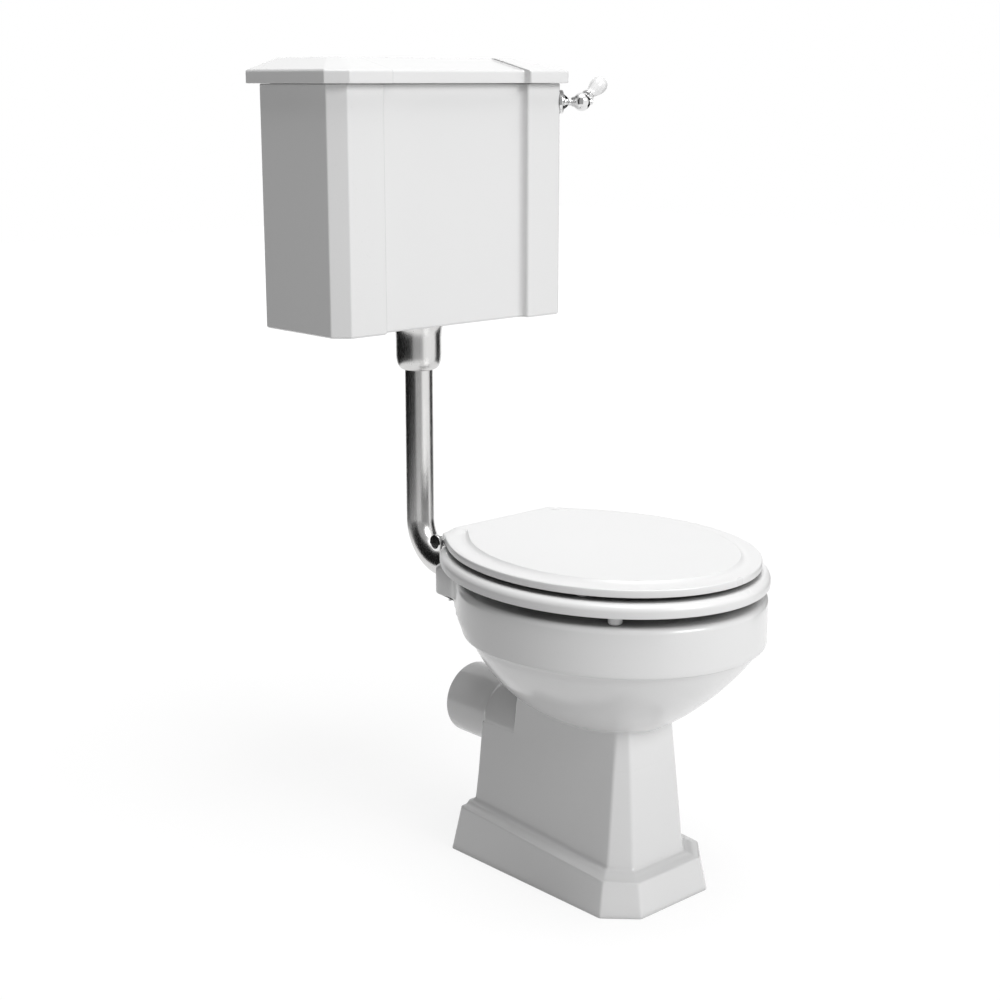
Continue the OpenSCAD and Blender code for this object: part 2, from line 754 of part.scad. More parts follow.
crank_drop = 25;
module crank_arm() {
    color("goldenrod") from_fixings()
        at_lever()
            translate([0, 0, -spindle_in])
                rotate([0, 0, crank_drop]) {
                    difference() {
                        translate([0, 0, -5])
                            cylinder(h = 10, d = spindle_d + 7);
                        translate([0, 0, -7])
                            cylinder(h = 14, d = spindle_d + 2 * eps);
                    }
                    rotate([90, 0, 0])
                        translate([0, 0, spindle_d / 2 + 2])
                            cylinder(h = hook_reach + 8 - spindle_d / 2 - 2, d = 5);
                }
}

/* Siphon */
chamber_low = tank_in + 18;
chamber_top = chamber_low + 96;
crown_z = tank_top - 134;
crown_r = chamber_x / 2;
hook_z = lever_z - hook_reach * tan(crank_drop);
gland_top = crown_z + crown_r / 4 + downleg_d;

module crown(d) {
    translate([crown_r, pipe_y, crown_z])
        rotate([90, 0, 0])
            rotate_extrude(angle = 180)
                translate([crown_r, 0])
                    circle(d = d);
}

module siphon_body() {
    leg_in = downleg_d - 2 * siphon_wall;
    color("white") from_fixings()
        difference() {
            union() {
                translate([0, pipe_y, tank_low - tail_len])
                    cylinder(h = tank_in + 3 - tank_low + tail_len, d = tail_d);
                translate([0, pipe_y, tank_in + 3])
                    cylinder(h = 4, d = 62);
                translate([0, pipe_y, tank_in + 3])
                    cylinder(h = crown_z - tank_in - 3, d = downleg_d);
                crown(downleg_d);
                translate([chamber_x, pipe_y, chamber_top])
                    cylinder(h = crown_z - chamber_top, d = downleg_d);
                translate([chamber_x, pipe_y, chamber_low])
                    cylinder(h = chamber_top - chamber_low, d = chamber_d);
                translate([chamber_x, pipe_y, chamber_top])
                    cylinder(h = 14, d1 = chamber_d, d2 = downleg_d);
                translate([chamber_x, pipe_y, crown_z])
                    cylinder(h = gland_top - crown_z, d = 14);
                translate([2, pipe_y - 4, chamber_low + 6])
                    cube([chamber_x - chamber_d / 2 + 2, 8, 70]);
            }
            translate([0, pipe_y, tank_low - tail_len - 1])
                cylinder(h = crown_z - tank_low + tail_len + 1, d = leg_in);
            crown(leg_in);
            translate([chamber_x, pipe_y, chamber_top - 4])
                cylinder(h = crown_z - chamber_top + 4, d = leg_in);
            translate([chamber_x, pipe_y, chamber_low - 1])
                cylinder(h = chamber_top - chamber_low - 3, d = chamber_d - 2 * siphon_wall);
            translate([chamber_x, pipe_y, crown_z - 2])
                cylinder(h = gland_top - crown_z + 4, d = 6 + 2 * fit);
        }
}

plate_z = chamber_low + 8;
module siphon_plate() {
    color("lightgray") from_fixings()
        translate([chamber_x, pipe_y, plate_z])
            difference() {
                union() {
                    cylinder(h = 3, d = chamber_d - 2 * siphon_wall - 2 * gap);
                    cylinder(h = 12, d = 16);
                }
                translate([0, 0, -1])
                    cylinder(h = 14, d = 6 + 2 * eps);
            }
}

module lift_rod() {
    color("goldenrod") from_fixings() {
        translate([chamber_x, pipe_y, plate_z - 2])
            cylinder(h = hook_z - 5.8 - plate_z + 2, d = 6);
        translate([chamber_x, pipe_y, hook_z])
            rotate([0, 90, 45])
                difference() {
                    cylinder(h = 3, d = 14, center = true);
                    cylinder(h = 5, d = 9.2, center = true);
                }
    }
}

/* Fill valve */
arm_y = valve_y - 14;
arm_z = tank_top - 90;
backnut_t = 9;
shank_d = inlet_d + 1;
module valve_body() {
    color("white") from_fixings()
        difference() {
            union() {
                translate([valve_x, valve_y, tank_low - 40])
                    cylinder(h = 40 - backnut_t, d = inlet_d);
                translate([valve_x, valve_y, tank_low - backnut_t])
                    cylinder(h = tank_in - tank_low + backnut_t + 3, d = shank_d);
                translate([valve_x, valve_y, tank_in + 3])
                    cylinder(h = 6, d = 34);
                translate([valve_x, valve_y, tank_in + 8])
                    cylinder(h = arm_z - tank_in + 14, d = 22);
                translate([valve_x - 14, valve_y, arm_z + 22])
                    rotate([0, 90, 0])
                        cylinder(h = 34, d = 24);
                translate([valve_x - 8, arm_y - 7, arm_z - 8])
                    difference() {
                        cube([16, 14, 20]);
                        translate([-1, 4, -1])
                            cube([18, 6, 16]);
                    }
            }
            translate([valve_x, valve_y, tank_low - 41])
                cylinder(h = 60, d = inlet_d - 8);
            translate([valve_x - 15, valve_y, arm_z + 22])
                rotate([0, 90, 0])
                    cylinder(h = 24, d = 12 + 2 * fit);
            translate([valve_x, arm_y - 9, arm_z])
                rotate([-90, 0, 0])
                    cylinder(h = 20, d = 4 + 2 * fit);
        }
}

module valve_piston() {
    color("goldenrod") from_fixings()
        translate([valve_x - 20, valve_y, arm_z + 22])
            rotate([0, 90, 0])
                cylinder(h = 24, d = 12);
}

module valve_washer() {
    color("dimgray") from_fixings()
        translate([valve_x, valve_y, tank_in])
            difference() {
                cylinder(h = 3, d = 34);
                translate([0, 0, -1])
                    cylinder(h = 5, d = shank_d + 2 * eps);
            }
}

module valve_backnut() {
    color("gainsboro") from_fixings()
        translate([valve_x, valve_y, tank_low - backnut_t])
            difference() {
                cylinder(h = backnut_t, d = shank_d + 12, $fn = 6);
                translate([0, 0, -1])
                    cylinder(h = backnut_t + 2, d = shank_d + 2 * eps);
            }
}

float_neck = float_d / 2 + 5;
module float_arm() {
    color("goldenrod") from_fixings() {
        translate([valve_x, arm_y - 7.6, arm_z])
            rotate([-90, 0, 0])
                cylinder(h = 15.2, d = 4);
        translate([valve_x, arm_y - 2, arm_z])
            rotate([-90, 0, 0])
                cylinder(h = 4, d = 12);
        translate([valve_x - float_reach + float_neck, arm_y, arm_z])
            rotate([0, 90, 0])
                cylinder(h = float_reach - float_neck - 4, d = 5);
    }
}

module float_ball() {
    color("white") from_fixings()
        translate([valve_x - float_reach, arm_y, arm_z]) {
            sphere(d = float_d);
            translate([float_d / 2 - 3, 0, 0])
                rotate([0, 90, 0])
                    cylinder(h = float_neck - float_d / 2 + 3, d = 12);
        }
}

/* Seat */
function seat_plan(inset, rear, rear_half, corner) =
    [rim_half + ring_over - inset, rim_front + ring_over - inset, rim_back + seat_back + ring_over - inset,
     rear_half, rear, corner];

function seat_lid_plan(i) = seat_plan(seat_lid_in + i, seat_lid_rear, ring_rear_half + 3 - i, 3);

module seat_ring() {
    function outer(i) = half_plan(seat_plan(i, ring_rear - 0.4 * i, ring_rear_half - i, 8));
    function hole(i) = half_egg(ring_hole_half + i, widest_y - ring_hole_front - i,
        widest_y + ring_hole_back + i, widest_y);
    t = ring_t;
    color("white") from_fixings()
        loft_loop([both(outer(1.4), ring_low), both(outer(0), ring_low + 0.08 * t),
            both(outer(0), ring_low + 0.48 * t), both(outer(1), ring_low + 0.67 * t),
            both(outer(3.2), ring_low + 0.84 * t), both(outer(6.8), ring_low + 0.95 * t),
            both(outer(12), ring_top), both(hole(26), ring_top), both(hole(8), ring_top - 0.12 * t),
            both(hole(2), ring_top - 0.3 * t), both(hole(0), ring_top - 0.56 * t),
            both(hole(2), ring_low + 0.12 * t), both(hole(6), ring_low)]);
}

// Places of the buffers: [side to side, front to back]
ring_pads = [[125, -168], [-125, -168], [150, 40], [-150, 40]];
lid_pads = [[140, -128], [-140, -128], [140, 50], [-140, 50]];

module ring_buffers() {
    color("whitesmoke") from_fixings()
        for (p = ring_pads)
            translate([p[0], p[1], rim_top + gap])
                rotate_extrude()
                    polygon([[0, 0], [buffer_d / 2 - 3, 0], [buffer_d / 2 - 0.8, 1.2], [buffer_d / 2, 3.4],
                             [buffer_d / 2, ring_gap - gap], [0, ring_gap - gap]]);
}

module lid_buffers() {
    color("whitesmoke") from_fixings()
        for (p = lid_pads)
            translate([p[0], p[1], ring_top + gap])
                cylinder(h = seat_lid_gap - gap, d = buffer_d - 3);
}

module seat_lid() {
    function outline(i) = half_plan(seat_lid_plan(i));
    z = seat_lid_edge_z;
    b = border_w;
    color("white") from_fixings()
        loft([both(outline(1.2), seat_lid_low), both(outline(0), seat_lid_low + 1.2), both(outline(0), z - 1.8),
            both(outline(0.6), z - 0.5), both(outline(1.8), z), both(outline(0.66 * b), z + 0.01 * panel_rise),
            both(outline(0.77 * b), z + 0.09 * panel_rise), both(outline(0.86 * b), z + 0.3 * panel_rise),
            both(outline(0.94 * b), z + 0.64 * panel_rise), both(outline(b), z + panel_rise)]);
}

/* Seat hinge */
knuckle_in = post_gap / 2 - 33;
knuckle_out = post_gap / 2 + 10.5;
module barrel(x, len_x, bore) {
    translate([x, hinge_y, hinge_z])
        rotate([0, 90, 0])
            difference() {
                cylinder(h = len_x, d = knuckle_d);
                translate([0, 0, -1])
                    cylinder(h = len_x + 2, d = bore);
            }
}

module ring_knuckles() {
    plate_t = 4;
    color("silver") from_fixings()
        for (side = [0, 1])
            mirror([side, 0, 0])
                difference() {
                    union() {
                        translate([knuckle_out, hinge_y - 50, ring_low - plate_t])
                            cube([16, 50, plate_t]);
                        translate([knuckle_out, hinge_y - knuckle_d / 2, ring_low - plate_t])
                            cube([16, knuckle_d / 2, hinge_z - ring_low + plate_t]);
                        translate([knuckle_out, hinge_y, hinge_z])
                            rotate([0, 90, 0])
                                cylinder(h = 16, d = knuckle_d);
                    }
                    translate([knuckle_out - 1, hinge_y, hinge_z])
                        rotate([0, 90, 0])
                            cylinder(h = 18, d = bar_d + 2 * fit);
                }
}

module lid_knuckles() {
    plate_t = 3.6;
    color("silver") from_fixings()
        for (side = [0, 1])
            mirror([side, 0, 0])
                difference() {
                    union() {
                        translate([knuckle_in, hinge_y - 42, seat_lid_low - plate_t])
                            cube([18, 42, plate_t]);
                        translate([knuckle_in, hinge_y, hinge_z])
                            rotate([0, 90, 0])
                                cylinder(h = 18, d = knuckle_d);
                    }
                    translate([knuckle_in - 1, hinge_y, hinge_z])
                        rotate([0, 90, 0])
                            cylinder(h = 20, d = bar_d + 2 * fit);
                }
}

cap_x = side_x(seat_lid_plan(0), hinge_y - cap_d / 2) + 2.2;
module hinge_bar() {
    color("silver") from_fixings() {
        translate([-cap_x, hinge_y, hinge_z])
            rotate([0, 90, 0])
                cylinder(h = 2 * cap_x, d = bar_d);
        for (side = [0, 1])
            mirror([side, 0, 0])
                translate([cap_x - 1, hinge_y, hinge_z])
                    rotate([0, 90, 0])
                        rotate_extrude()
                            polygon([[0, 0], [cap_d / 2 - 1, 0], [cap_d / 2, 1], [cap_d / 2, 4.4],
                                     [cap_d / 2 - 1, 5.4], [0, 5.8]]);
    }
}

module hinge_posts() {
    color("silver") from_fixings()
        for (side = [-1, 1])
            difference() {
                union() {
                    translate([side * post_gap / 2, hinge_y, rim_top]) {
                        cylinder(h = 3, d = post_d + 12);
                        cylinder(h = hinge_up, d = post_d);
                    }
                    translate([side * post_gap / 2 - post_d / 2, hinge_y, hinge_z])
                        rotate([0, 90, 0])
                            cylinder(h = post_d, d = knuckle_d);
                    translate([side * post_gap / 2, hinge_y, deck_low - 24])
                        cylinder(h = deck_t + 25, d = 8);
                }
                translate([side * post_gap / 2 - post_d / 2 - 1, hinge_y, hinge_z])
                    rotate([0, 90, 0])
                        cylinder(h = post_d + 2, d = bar_d + 2 * eps);
            }
}

module post_washers() {
    color("dimgray") from_fixings()
        for (side = [-1, 1])
            translate([side * post_gap / 2, hinge_y, deck_low - 3 - eps])
                difference() {
                    cylinder(h = 3, d = 30);
                    translate([0, 0, -1])
                        cylinder(h = 5, d = 8 + 2 * eps);
                }
}

module post_nuts() {
    color("silver") from_fixings()
        for (side = [-1, 1])
            translate([side * post_gap / 2, hinge_y, deck_low - 12 - eps])
                difference() {
                    union() {
                        cylinder(h = 9, d = 16);
                        translate([-15, -1.5, 0])
                            cube([30, 3, 8]);
                    }
                    translate([0, 0, -1])
                        cylinder(h = 11, d = 8 + 2 * eps);
                }
}

pan();
flush_cone();
flush_pipe();
pipe_cover();
pipe_nut();
siphon_backnut();
siphon_washer();
siphon_body();
siphon_plate();
lift_rod();
tank_body();
tank_lid();
lever_flange();
lever_washer();
lever_nut();
lever_spindle();
lever_collar();
lever_handle();
crank_arm();
valve_body();
valve_washer();
valve_backnut();
valve_piston();
float_arm();
float_ball();
seat_ring();
ring_buffers();
ring_knuckles();
seat_lid();
lid_buffers();
lid_knuckles();
hinge_bar();
hinge_posts();
post_washers();
post_nuts();
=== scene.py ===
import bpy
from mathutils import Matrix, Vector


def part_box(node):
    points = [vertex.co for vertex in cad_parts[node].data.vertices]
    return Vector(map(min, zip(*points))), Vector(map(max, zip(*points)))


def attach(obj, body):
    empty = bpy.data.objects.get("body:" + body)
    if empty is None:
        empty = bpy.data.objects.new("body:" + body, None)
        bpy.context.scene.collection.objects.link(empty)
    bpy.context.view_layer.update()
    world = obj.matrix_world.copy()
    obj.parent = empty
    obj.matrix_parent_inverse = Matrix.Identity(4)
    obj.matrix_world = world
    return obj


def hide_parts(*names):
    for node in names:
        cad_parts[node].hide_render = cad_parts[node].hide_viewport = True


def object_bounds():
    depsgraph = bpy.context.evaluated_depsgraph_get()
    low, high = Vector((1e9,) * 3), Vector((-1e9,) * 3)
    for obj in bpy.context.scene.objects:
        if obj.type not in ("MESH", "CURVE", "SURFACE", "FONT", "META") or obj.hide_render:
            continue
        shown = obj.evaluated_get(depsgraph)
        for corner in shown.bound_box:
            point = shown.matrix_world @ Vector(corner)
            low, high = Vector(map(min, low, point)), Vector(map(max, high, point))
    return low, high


bl_info = {
    "name": "Low-level WC",
    "version": (1, 0, 0),
    "blender": (4, 5, 0),
    "location": "View3D > Sidebar > WC",
    "description": "Dresses the packed frame of a low-level WC: glazed pan and cistern, seat, flush pipe and lever",
    "category": "Add Mesh",
}

import math

import bpy
import numpy as np

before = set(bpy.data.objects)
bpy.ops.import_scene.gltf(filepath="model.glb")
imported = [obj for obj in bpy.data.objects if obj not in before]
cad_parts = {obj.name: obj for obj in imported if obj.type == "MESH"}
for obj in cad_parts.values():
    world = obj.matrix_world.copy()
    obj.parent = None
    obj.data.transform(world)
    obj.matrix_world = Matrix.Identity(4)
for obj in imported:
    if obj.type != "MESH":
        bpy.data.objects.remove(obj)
CAD_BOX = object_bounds()

# The shapes are worked out in millimetres from the foot's centre on the floor. FOOT_Y is that centre in the frame,
# whose origin lies between the floor fixing holes.
RIM_FRONT = 252.0
FOOT_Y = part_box("pan")[0][1] + RIM_FRONT * 0.001

# Columns of half an outline: front, side, rear corner, rear edge. Then the columns of a turned piece
FRONT, SIDE, CORNER, REAR = 56, 36, 18, 14
HALF = FRONT + SIDE + CORNER + REAR
TURN = 96
# y of the widest line of bowl and seat, and the angle between faces from which an edge stays sharp
WIDEST = -30.0
SHARP = math.radians(48)


def place(points):
    """Points in millimetres from the foot's centre become metres in the frame: a thousandth, and moved along y."""
    out = np.array(points, float) * 0.001
    out[..., 1] += FOOT_Y
    return out


# ---- curves

def follow(at, xs, ys):
    """Smooth curve through stations: a cubic between each pair, whose slopes are the stations' own differences."""
    xs, ys = np.asarray(xs, float), np.asarray(ys, float)
    slope = np.gradient(ys, xs)
    i = np.clip(np.searchsorted(xs, at) - 1, 0, len(xs) - 2)
    h = xs[i + 1] - xs[i]
    t = (at - xs[i]) / h
    return ((2 * t**3 - 3 * t**2 + 1) * ys[i] + (t**3 - 2 * t**2 + t) * h * slope[i]
            + (3 * t**2 - 2 * t**3) * ys[i + 1] + (t**3 - t**2) * h * slope[i + 1])


def stations(table, at):
    """Smooth curves through a table whose first column is the way and whose others are values on it."""
    return [follow(at, table[:, 0], column) for column in table[:, 1:].T]


def full(half):
    """Whole outline from its right half: the half, then its mirror image back to the start."""
    mirror = half[-2:0:-1].copy()
    mirror[:, 0] *= -1
    return np.concatenate([half, mirror])


def ease(s):
    """Smooth step of a share between 0 and 1: 3s^2 - 2s^3."""
    return s * s * (3 - 2 * s)


def lift(outline, z):
    """Whole outline laid at a height."""
    return np.column_stack([outline, np.full(len(outline), float(z))])


def level(half, z):
    """Half outline with its mirror image, laid at a height."""
    return lift(full(half), z)


def between(a, b, shares):
    """Rings part of the way from one ring to another: a (1 - s) + b s."""
    return [a * (1 - s) + b * s for s in shares]


def stack(line, steps, z=0.0):
    """Rings of a half outline that is drawn in by each step's first number, at the height z plus its second."""
    return [level(line(inset), z + rise) for inset, rise in steps]


def round_angles(turn=TURN):
    """Even angles of a whole turn."""
    return np.arange(turn) * 2 * math.pi / turn


def side_line(o, y):
    """Half width of the seat family's outline behind its widest line: the sixth-power mean of an ellipse and a
    straight neck, divided by a factor that fades from the mean's swell at the widest line to 1 at the rear."""
    width, _, back, neck, rear = o
    bulge = width * np.sqrt(np.clip(1 - ((y - WIDEST) / back) ** 2, 0, None))
    swell = (width**6 + neck**6) ** (1 / 6) / width
    fade = 1 - (y - WIDEST) / (rear - WIDEST)
    return (bulge**6 + neck**6) ** (1 / 6) / (1 + (swell - 1) * fade)


def half_outline(o, rear, corner, turn=None):
    """Right half of a seat outline: a quarter ellipse x = W sin a, y = y0 - F cos a, the side line, a quadratic
    corner tangent to the side and to the straight rear edge, and the rear edge to its middle.
    Sides end at turn, so outlines with different rear edges share their side columns."""
    start = rear - corner
    turn = start if turn is None else turn
    straight = 8 if start - turn >= 1 else 0
    a = np.linspace(0, np.pi / 2, FRONT + 1)
    front = np.column_stack([o[0] * np.sin(a), WIDEST - o[1] * np.cos(a)])
    y = np.concatenate([np.linspace(WIDEST, turn, SIDE + 1)[1:], np.linspace(turn, start, straight + 1)[1:]])
    side = np.column_stack([side_line(o, y), y])
    x0 = side_line(o, start)
    lean = (x0 - side_line(o, start - 1)) * corner
    t = np.linspace(0, 1, CORNER - straight + 1)[1:, None]
    p0, p1, p2 = np.array([x0, start]), np.array([x0 + lean, rear]), np.array([x0 + lean - corner, rear])
    bend = (1 - t) ** 2 * p0 + 2 * t * (1 - t) * p1 + t**2 * p2
    x = np.linspace(p2[0], 0, REAR + 1)[1:]
    return np.concatenate([front, side, bend, np.column_stack([x, np.full(REAR, rear)])])


def half_egg(width, front, rear, y0=WIDEST, fine=False):
    """Right half of an egg: two quarter ellipses of one width, joined at y0."""
    k = 12 if fine else 1
    a = np.linspace(0, np.pi / 2, FRONT * k + 1)
    b = np.linspace(0, np.pi / 2, (HALF - FRONT) * k + 1)[1:]
    return np.concatenate([
        np.column_stack([width * np.sin(a), y0 - (y0 - front) * np.cos(a)]),
        np.column_stack([width * np.cos(b), y0 + (rear - y0) * np.sin(b)])])


def polar(half):
    """Polar angles of a half outline's points, counted from the front."""
    return np.arctan2(half[:, 0], -half[:, 1])


def reach(curve, angle):
    """Distance of a half outline from the middle axis at polar angles."""
    a = polar(curve)
    return np.hypot(np.interp(angle, a, curve[:, 0]), np.interp(angle, a, curve[:, 1]))


def spokes(r, angle):
    """Points at distances and polar angles: (r sin a, -r cos a)."""
    return np.column_stack([r * np.sin(angle), -r * np.cos(angle)])


def fillet_max(a, b, width):
    """The larger of two distances, with a fillet where they are within width of each other: max + h h width / 4,
    where h falls from 1 at equality to 0."""
    h = np.clip(1 - np.abs(a - b) / width, 0, 1)
    return np.maximum(a, b) + h * h * width / 4


def round_polygon(corners, radii, arc=5, gaps=3):
    """Closed outline of a polygon whose corners are arcs: each arc starts r tan(turn / 2) before its corner and
    turns evenly to the next side; gaps points lie on each straight side."""
    p = np.asarray(corners, float)
    r = np.broadcast_to(np.asarray(radii, float), (len(p),))[:, None]
    into = p - np.roll(p, 1, 0)
    out = np.roll(p, -1, 0) - p
    into, out = (v / np.linalg.norm(v, axis=1)[:, None] for v in (into, out))
    turn = np.arctan2(into[:, 0] * out[:, 1] - into[:, 1] * out[:, 0], (into * out).sum(1))[:, None]
    start = p - into * r * np.tan(np.abs(turn) / 2)
    left = np.stack([-into[:, 1], into[:, 0]], 1) * np.sign(turn)
    t = np.linspace(0, 1, arc + 1)[None, :] * np.abs(turn)
    pts = (start[:, None] + into[:, None] * (r * np.sin(t))[:, :, None]
           + left[:, None] * (r * (1 - np.cos(t)))[:, :, None])
    nxt = np.roll(pts[:, 0], -1, 0)
    t = np.linspace(0, 1, gaps + 2)[1:-1][None, :, None]
    line = pts[:, -1][:, None] * (1 - t) + nxt[:, None] * t
    return np.concatenate([pts, line], 1).reshape(-1, 2)


def quarter(radius, steps=6):
    """(inset, rise) of a quarter round, from its lower edge inwards and up."""
    a = np.linspace(0, np.pi / 2, steps + 1)
    return np.column_stack([radius * (1 - np.cos(a)), radius * np.sin(a)])


# ---- shells

def shell(rings, start="pole", end="pole", loop=False):
    """Points and faces of a closed surface through rings of equal count. Ends are closed by a fan to the ring's
    middle (pole) or by one flat face (flat); loop joins the last ring to the first. Faces are turned outwards
    when the signed volume, the sum of a.(b x c) over its triangles, comes out negative."""
    rings = np.asarray(rings, float)
    m, n = rings.shape[:2]
    points = rings.reshape(-1, 3)
    k, i = np.arange(m if loop else m - 1)[:, None], np.arange(n)
    j, q = (i + 1) % n, (k + 1) % m
    quads = np.stack(np.broadcast_arrays(k * n + i, k * n + j, q * n + j, q * n + i), -1).reshape(-1, 4)
    a, b, c, d = (points[quads[:, s]] for s in range(4))
    volume = np.einsum("ij,ij", a, np.cross(b, c) + np.cross(c, d))
    faces = quads.tolist()
    last = (m - 1) * n
    for a, b, flat, kind in () if loop else ((j, i, i[::-1], start), (last + i, last + j, last + i, end)):
        pole = points[flat].mean(0)
        volume += np.einsum("ij,ij", points[a], np.cross(points[b], pole))
        if kind == "flat":
            faces.append(flat.tolist())
        else:
            faces += np.column_stack([a, b, np.full(n, len(points))]).tolist()
            points = np.concatenate([points, pole[None]])
    if volume < 0:
        faces = [f[::-1] for f in faces]
    return points, faces


def turned(profile, frame_of, turn=TURN, loop=False):
    """Surface of revolution: the profile's (radius, height) turned round an axis, in a frame (origin, side, up).
    Unless it is a loop, a pole closes each end on the axis, and the profile's own points there are left out."""
    p = np.asarray(profile, float)
    if not loop:
        p = p[p[:, 0] > 1e-6]
    origin, side, up = (np.asarray(v, float) for v in frame_of)
    a = round_angles(turn)[:, None]
    out = np.cos(a) * side + np.sin(a) * np.cross(up, side)
    return shell(origin + p[:, 0, None, None] * out + p[:, 1, None, None] * up, loop=loop)


def axis(way, x, y, z):
    """Frame (origin, side, up) of an axis through a point: up, to the wall (back) or to the right (across)."""
    side, up = {"up": ((1, 0, 0), (0, 0, 1)), "back": ((1, 0, 0), (0, 1, 0)), "across": ((0, 1, 0), (1, 0, 0))}[way]
    return (x, y, z), side, up


def smooth_profile(points, cuts=4):
    """Profile rounded between its points: the smooth curve of follow through them, by length along the line."""
    p = np.asarray(points, float)
    s = np.concatenate([[0], np.cumsum(np.linalg.norm(np.diff(p, axis=0), axis=1))])
    at = np.unique(np.concatenate([np.linspace(s[i], s[i + 1], cuts + 1) for i in range(len(s) - 1)]))
    return np.column_stack(stations(np.column_stack([s, p]), at))


def mark_angles():
    """Angles round a hoop, column by column, matched to half_egg's columns."""
    a = np.concatenate([np.linspace(0, np.pi / 2, FRONT + 1),
                        np.pi / 2 + np.linspace(0, np.pi / 2, HALF - FRONT + 1)[1:]])
    return np.concatenate([a, 2 * np.pi - a[-2:0:-1]])


def hoops(path, radius, angles):
    """Circles square to a path in the middle plane (y, z): centre + r (sin a across, cos a towards the outside)."""
    path = np.asarray(path, float)
    way = np.gradient(path, axis=0)
    way /= np.linalg.norm(way, axis=1)[:, None]
    r = np.broadcast_to(np.asarray(radius, float), (len(path),))[:, None]
    x = r * np.sin(angles)
    y = path[:, :1] + way[:, 1:] * r * np.cos(angles)
    z = path[:, 1:] - way[:, :1] * r * np.cos(angles)
    return np.stack([x, y, z], -1)


def joined(name, shells):
    """Object whose mesh holds several shells, placed in the frame."""
    points, faces, count = [], [], 0
    for p, f in shells:
        points.append(p)
        faces += [[v + count for v in face] for face in f]
        count += len(p)
    mesh = bpy.data.meshes.new(name)
    mesh.from_pydata(place(np.concatenate(points)), [], faces)
    obj = bpy.data.objects.new(name, mesh)
    bpy.context.scene.collection.objects.link(obj)
    return obj


def smooth(mesh):
    """Shades a mesh smooth apart from its sharp edges."""
    mesh.shade_smooth()
    mesh.set_sharp_from_angle(angle=SHARP)


def make(node, shells, finish_name, body, name=None, flats=False):
    """Piece made of shells in a node's place, named after it unless it has a name of its own, with its finish and
    slot, riding on its body. With flats, large faces decide the shading round them."""
    obj = joined(name or node + "_piece", shells)
    obj.data.validate()
    smooth(obj.data)
    if flats:
        obj.modifiers.new("Weighted Normal", "WEIGHTED_NORMAL").keep_sharp = True
    obj.data.materials.append(material_of(finish_name))
    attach(obj, body)
    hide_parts(node)
    return obj


def cut_away(obj, cutter_shells):
    """Takes closed shells out of an object's mesh with an exact boolean, applied at once."""
    cutter = joined("cutter", cutter_shells)
    modifier = obj.modifiers.new("Cut", "BOOLEAN")
    modifier.operation, modifier.solver, modifier.object = "DIFFERENCE", "EXACT", cutter
    if len(obj.modifiers) > 1:
        obj.modifiers.move(len(obj.modifiers) - 1, 0)
    with bpy.context.temp_override(object=obj, active_object=obj, selected_objects=[obj]):
        bpy.ops.object.modifier_apply(modifier=modifier.name)
    bpy.data.meshes.remove(cutter.data)
    smooth(obj.data)


def soften(points, radius, steps=4):
    """Open profile whose inner corners become quadratic arcs: (1-t)^2 a + 2t(1-t) corner + t^2 b, where a and b lie
    on the two sides, radius times tan(turn / 2) away, and at most 0.45 of the shorter side."""
    p = np.asarray(points, float)
    step = np.diff(p, axis=0)
    size = np.linalg.norm(step, axis=1)[:, None]
    way = step / size
    turn = np.arccos(np.clip((way[:-1] * way[1:]).sum(1), -1, 1))[:, None]
    back = np.minimum(radius * np.tan(turn / 2), 0.45 * np.minimum(size[:-1], size[1:]))
    a, b = p[1:-1] - way[:-1] * back, p[1:-1] + way[1:] * back
    t = np.linspace(0, 1, steps + 1)[:, None, None]
    arcs = (1 - t) ** 2 * a + 2 * t * (1 - t) * p[1:-1] + t**2 * b
    return np.concatenate([p[:1], arcs.transpose(1, 0, 2).reshape(-1, 2), p[-1:]])


# ---- pan

# Seat outlines: half width, reach to the front, reach of the rear ellipse, half width of the neck, rear edge
BAND = (190.0, 222.0, 190.0, 110.5, 190.0)
BAND_BACK, BAND_END, BAND_HIGH = 173.0, 142.0, 22.0
RIM_TOP, DECK_LOW, BAND_LOW = 408.0, 367.0, 345.0
STEM_TOP, STEM_REAR, EDGE_INSET = 182.4, 84.0, 2.6
# Height from the band to the bowl's low end, and how far back its widest line shifts on the way
BOWL_DROP, WIDEST_SHIFT = 140, 15
BOWL_STATIONS = np.array([
    # height, half width, front, rear
    [175, 8, -58, 60], [205, 12, -66, 78], [214, 27, -80, 94], [220, 48, -102.5, 100], [225, 59.5, -114, 103],
    [232, 72.5, -127.5, 106.5], [245, 92, -148, 111.5], [257, 107.5, -164.5, 115.5], [270, 122.5, -180, 120],
    [283, 136, -194.5, 123.5], [295, 147, -206.5, 127], [308, 158, -218.5, 130], [320, 167, -229, 133],
    [332, 175.5, -238, 136], [345, 182, -246.5, 139]], float)
SUMP_SHARES = np.array([
    [1.22, .248, .262, .185], [1, .285, .335, .275], [.86, .295, .365, .350], [.78, .335, .410, .420],
    [.68, .468, .520, .500], [.50, .634, .662, .655], [.32, .760, .781, .790], [.14, .868, .883, .885],
    [0, .953, .970, .938]], float)


def rim_line(inset, corner=20.0):
    """Right half of the deck and rim outline, drawn in by an inset."""
    return half_outline([v - inset for v in BAND], BAND[4] - inset, max(2.0, corner - inset), turn=136.0)


def band_line(inset=0.0, share=1.0):
    """Right half of the band's outline: the rim's line, cut off square behind the bowl. Its rear part grows from a
    narrower curve at the lower edge to the rim's by the smooth step of the height's share."""
    back = BAND_BACK + (BAND[2] - BAND_BACK) * ease(share)
    o = (BAND[0] - inset, BAND[1] - inset, back - inset, BAND[3] - inset, BAND[4])
    return half_outline(o, BAND_END - inset, 6.0 - 0.5 * inset)


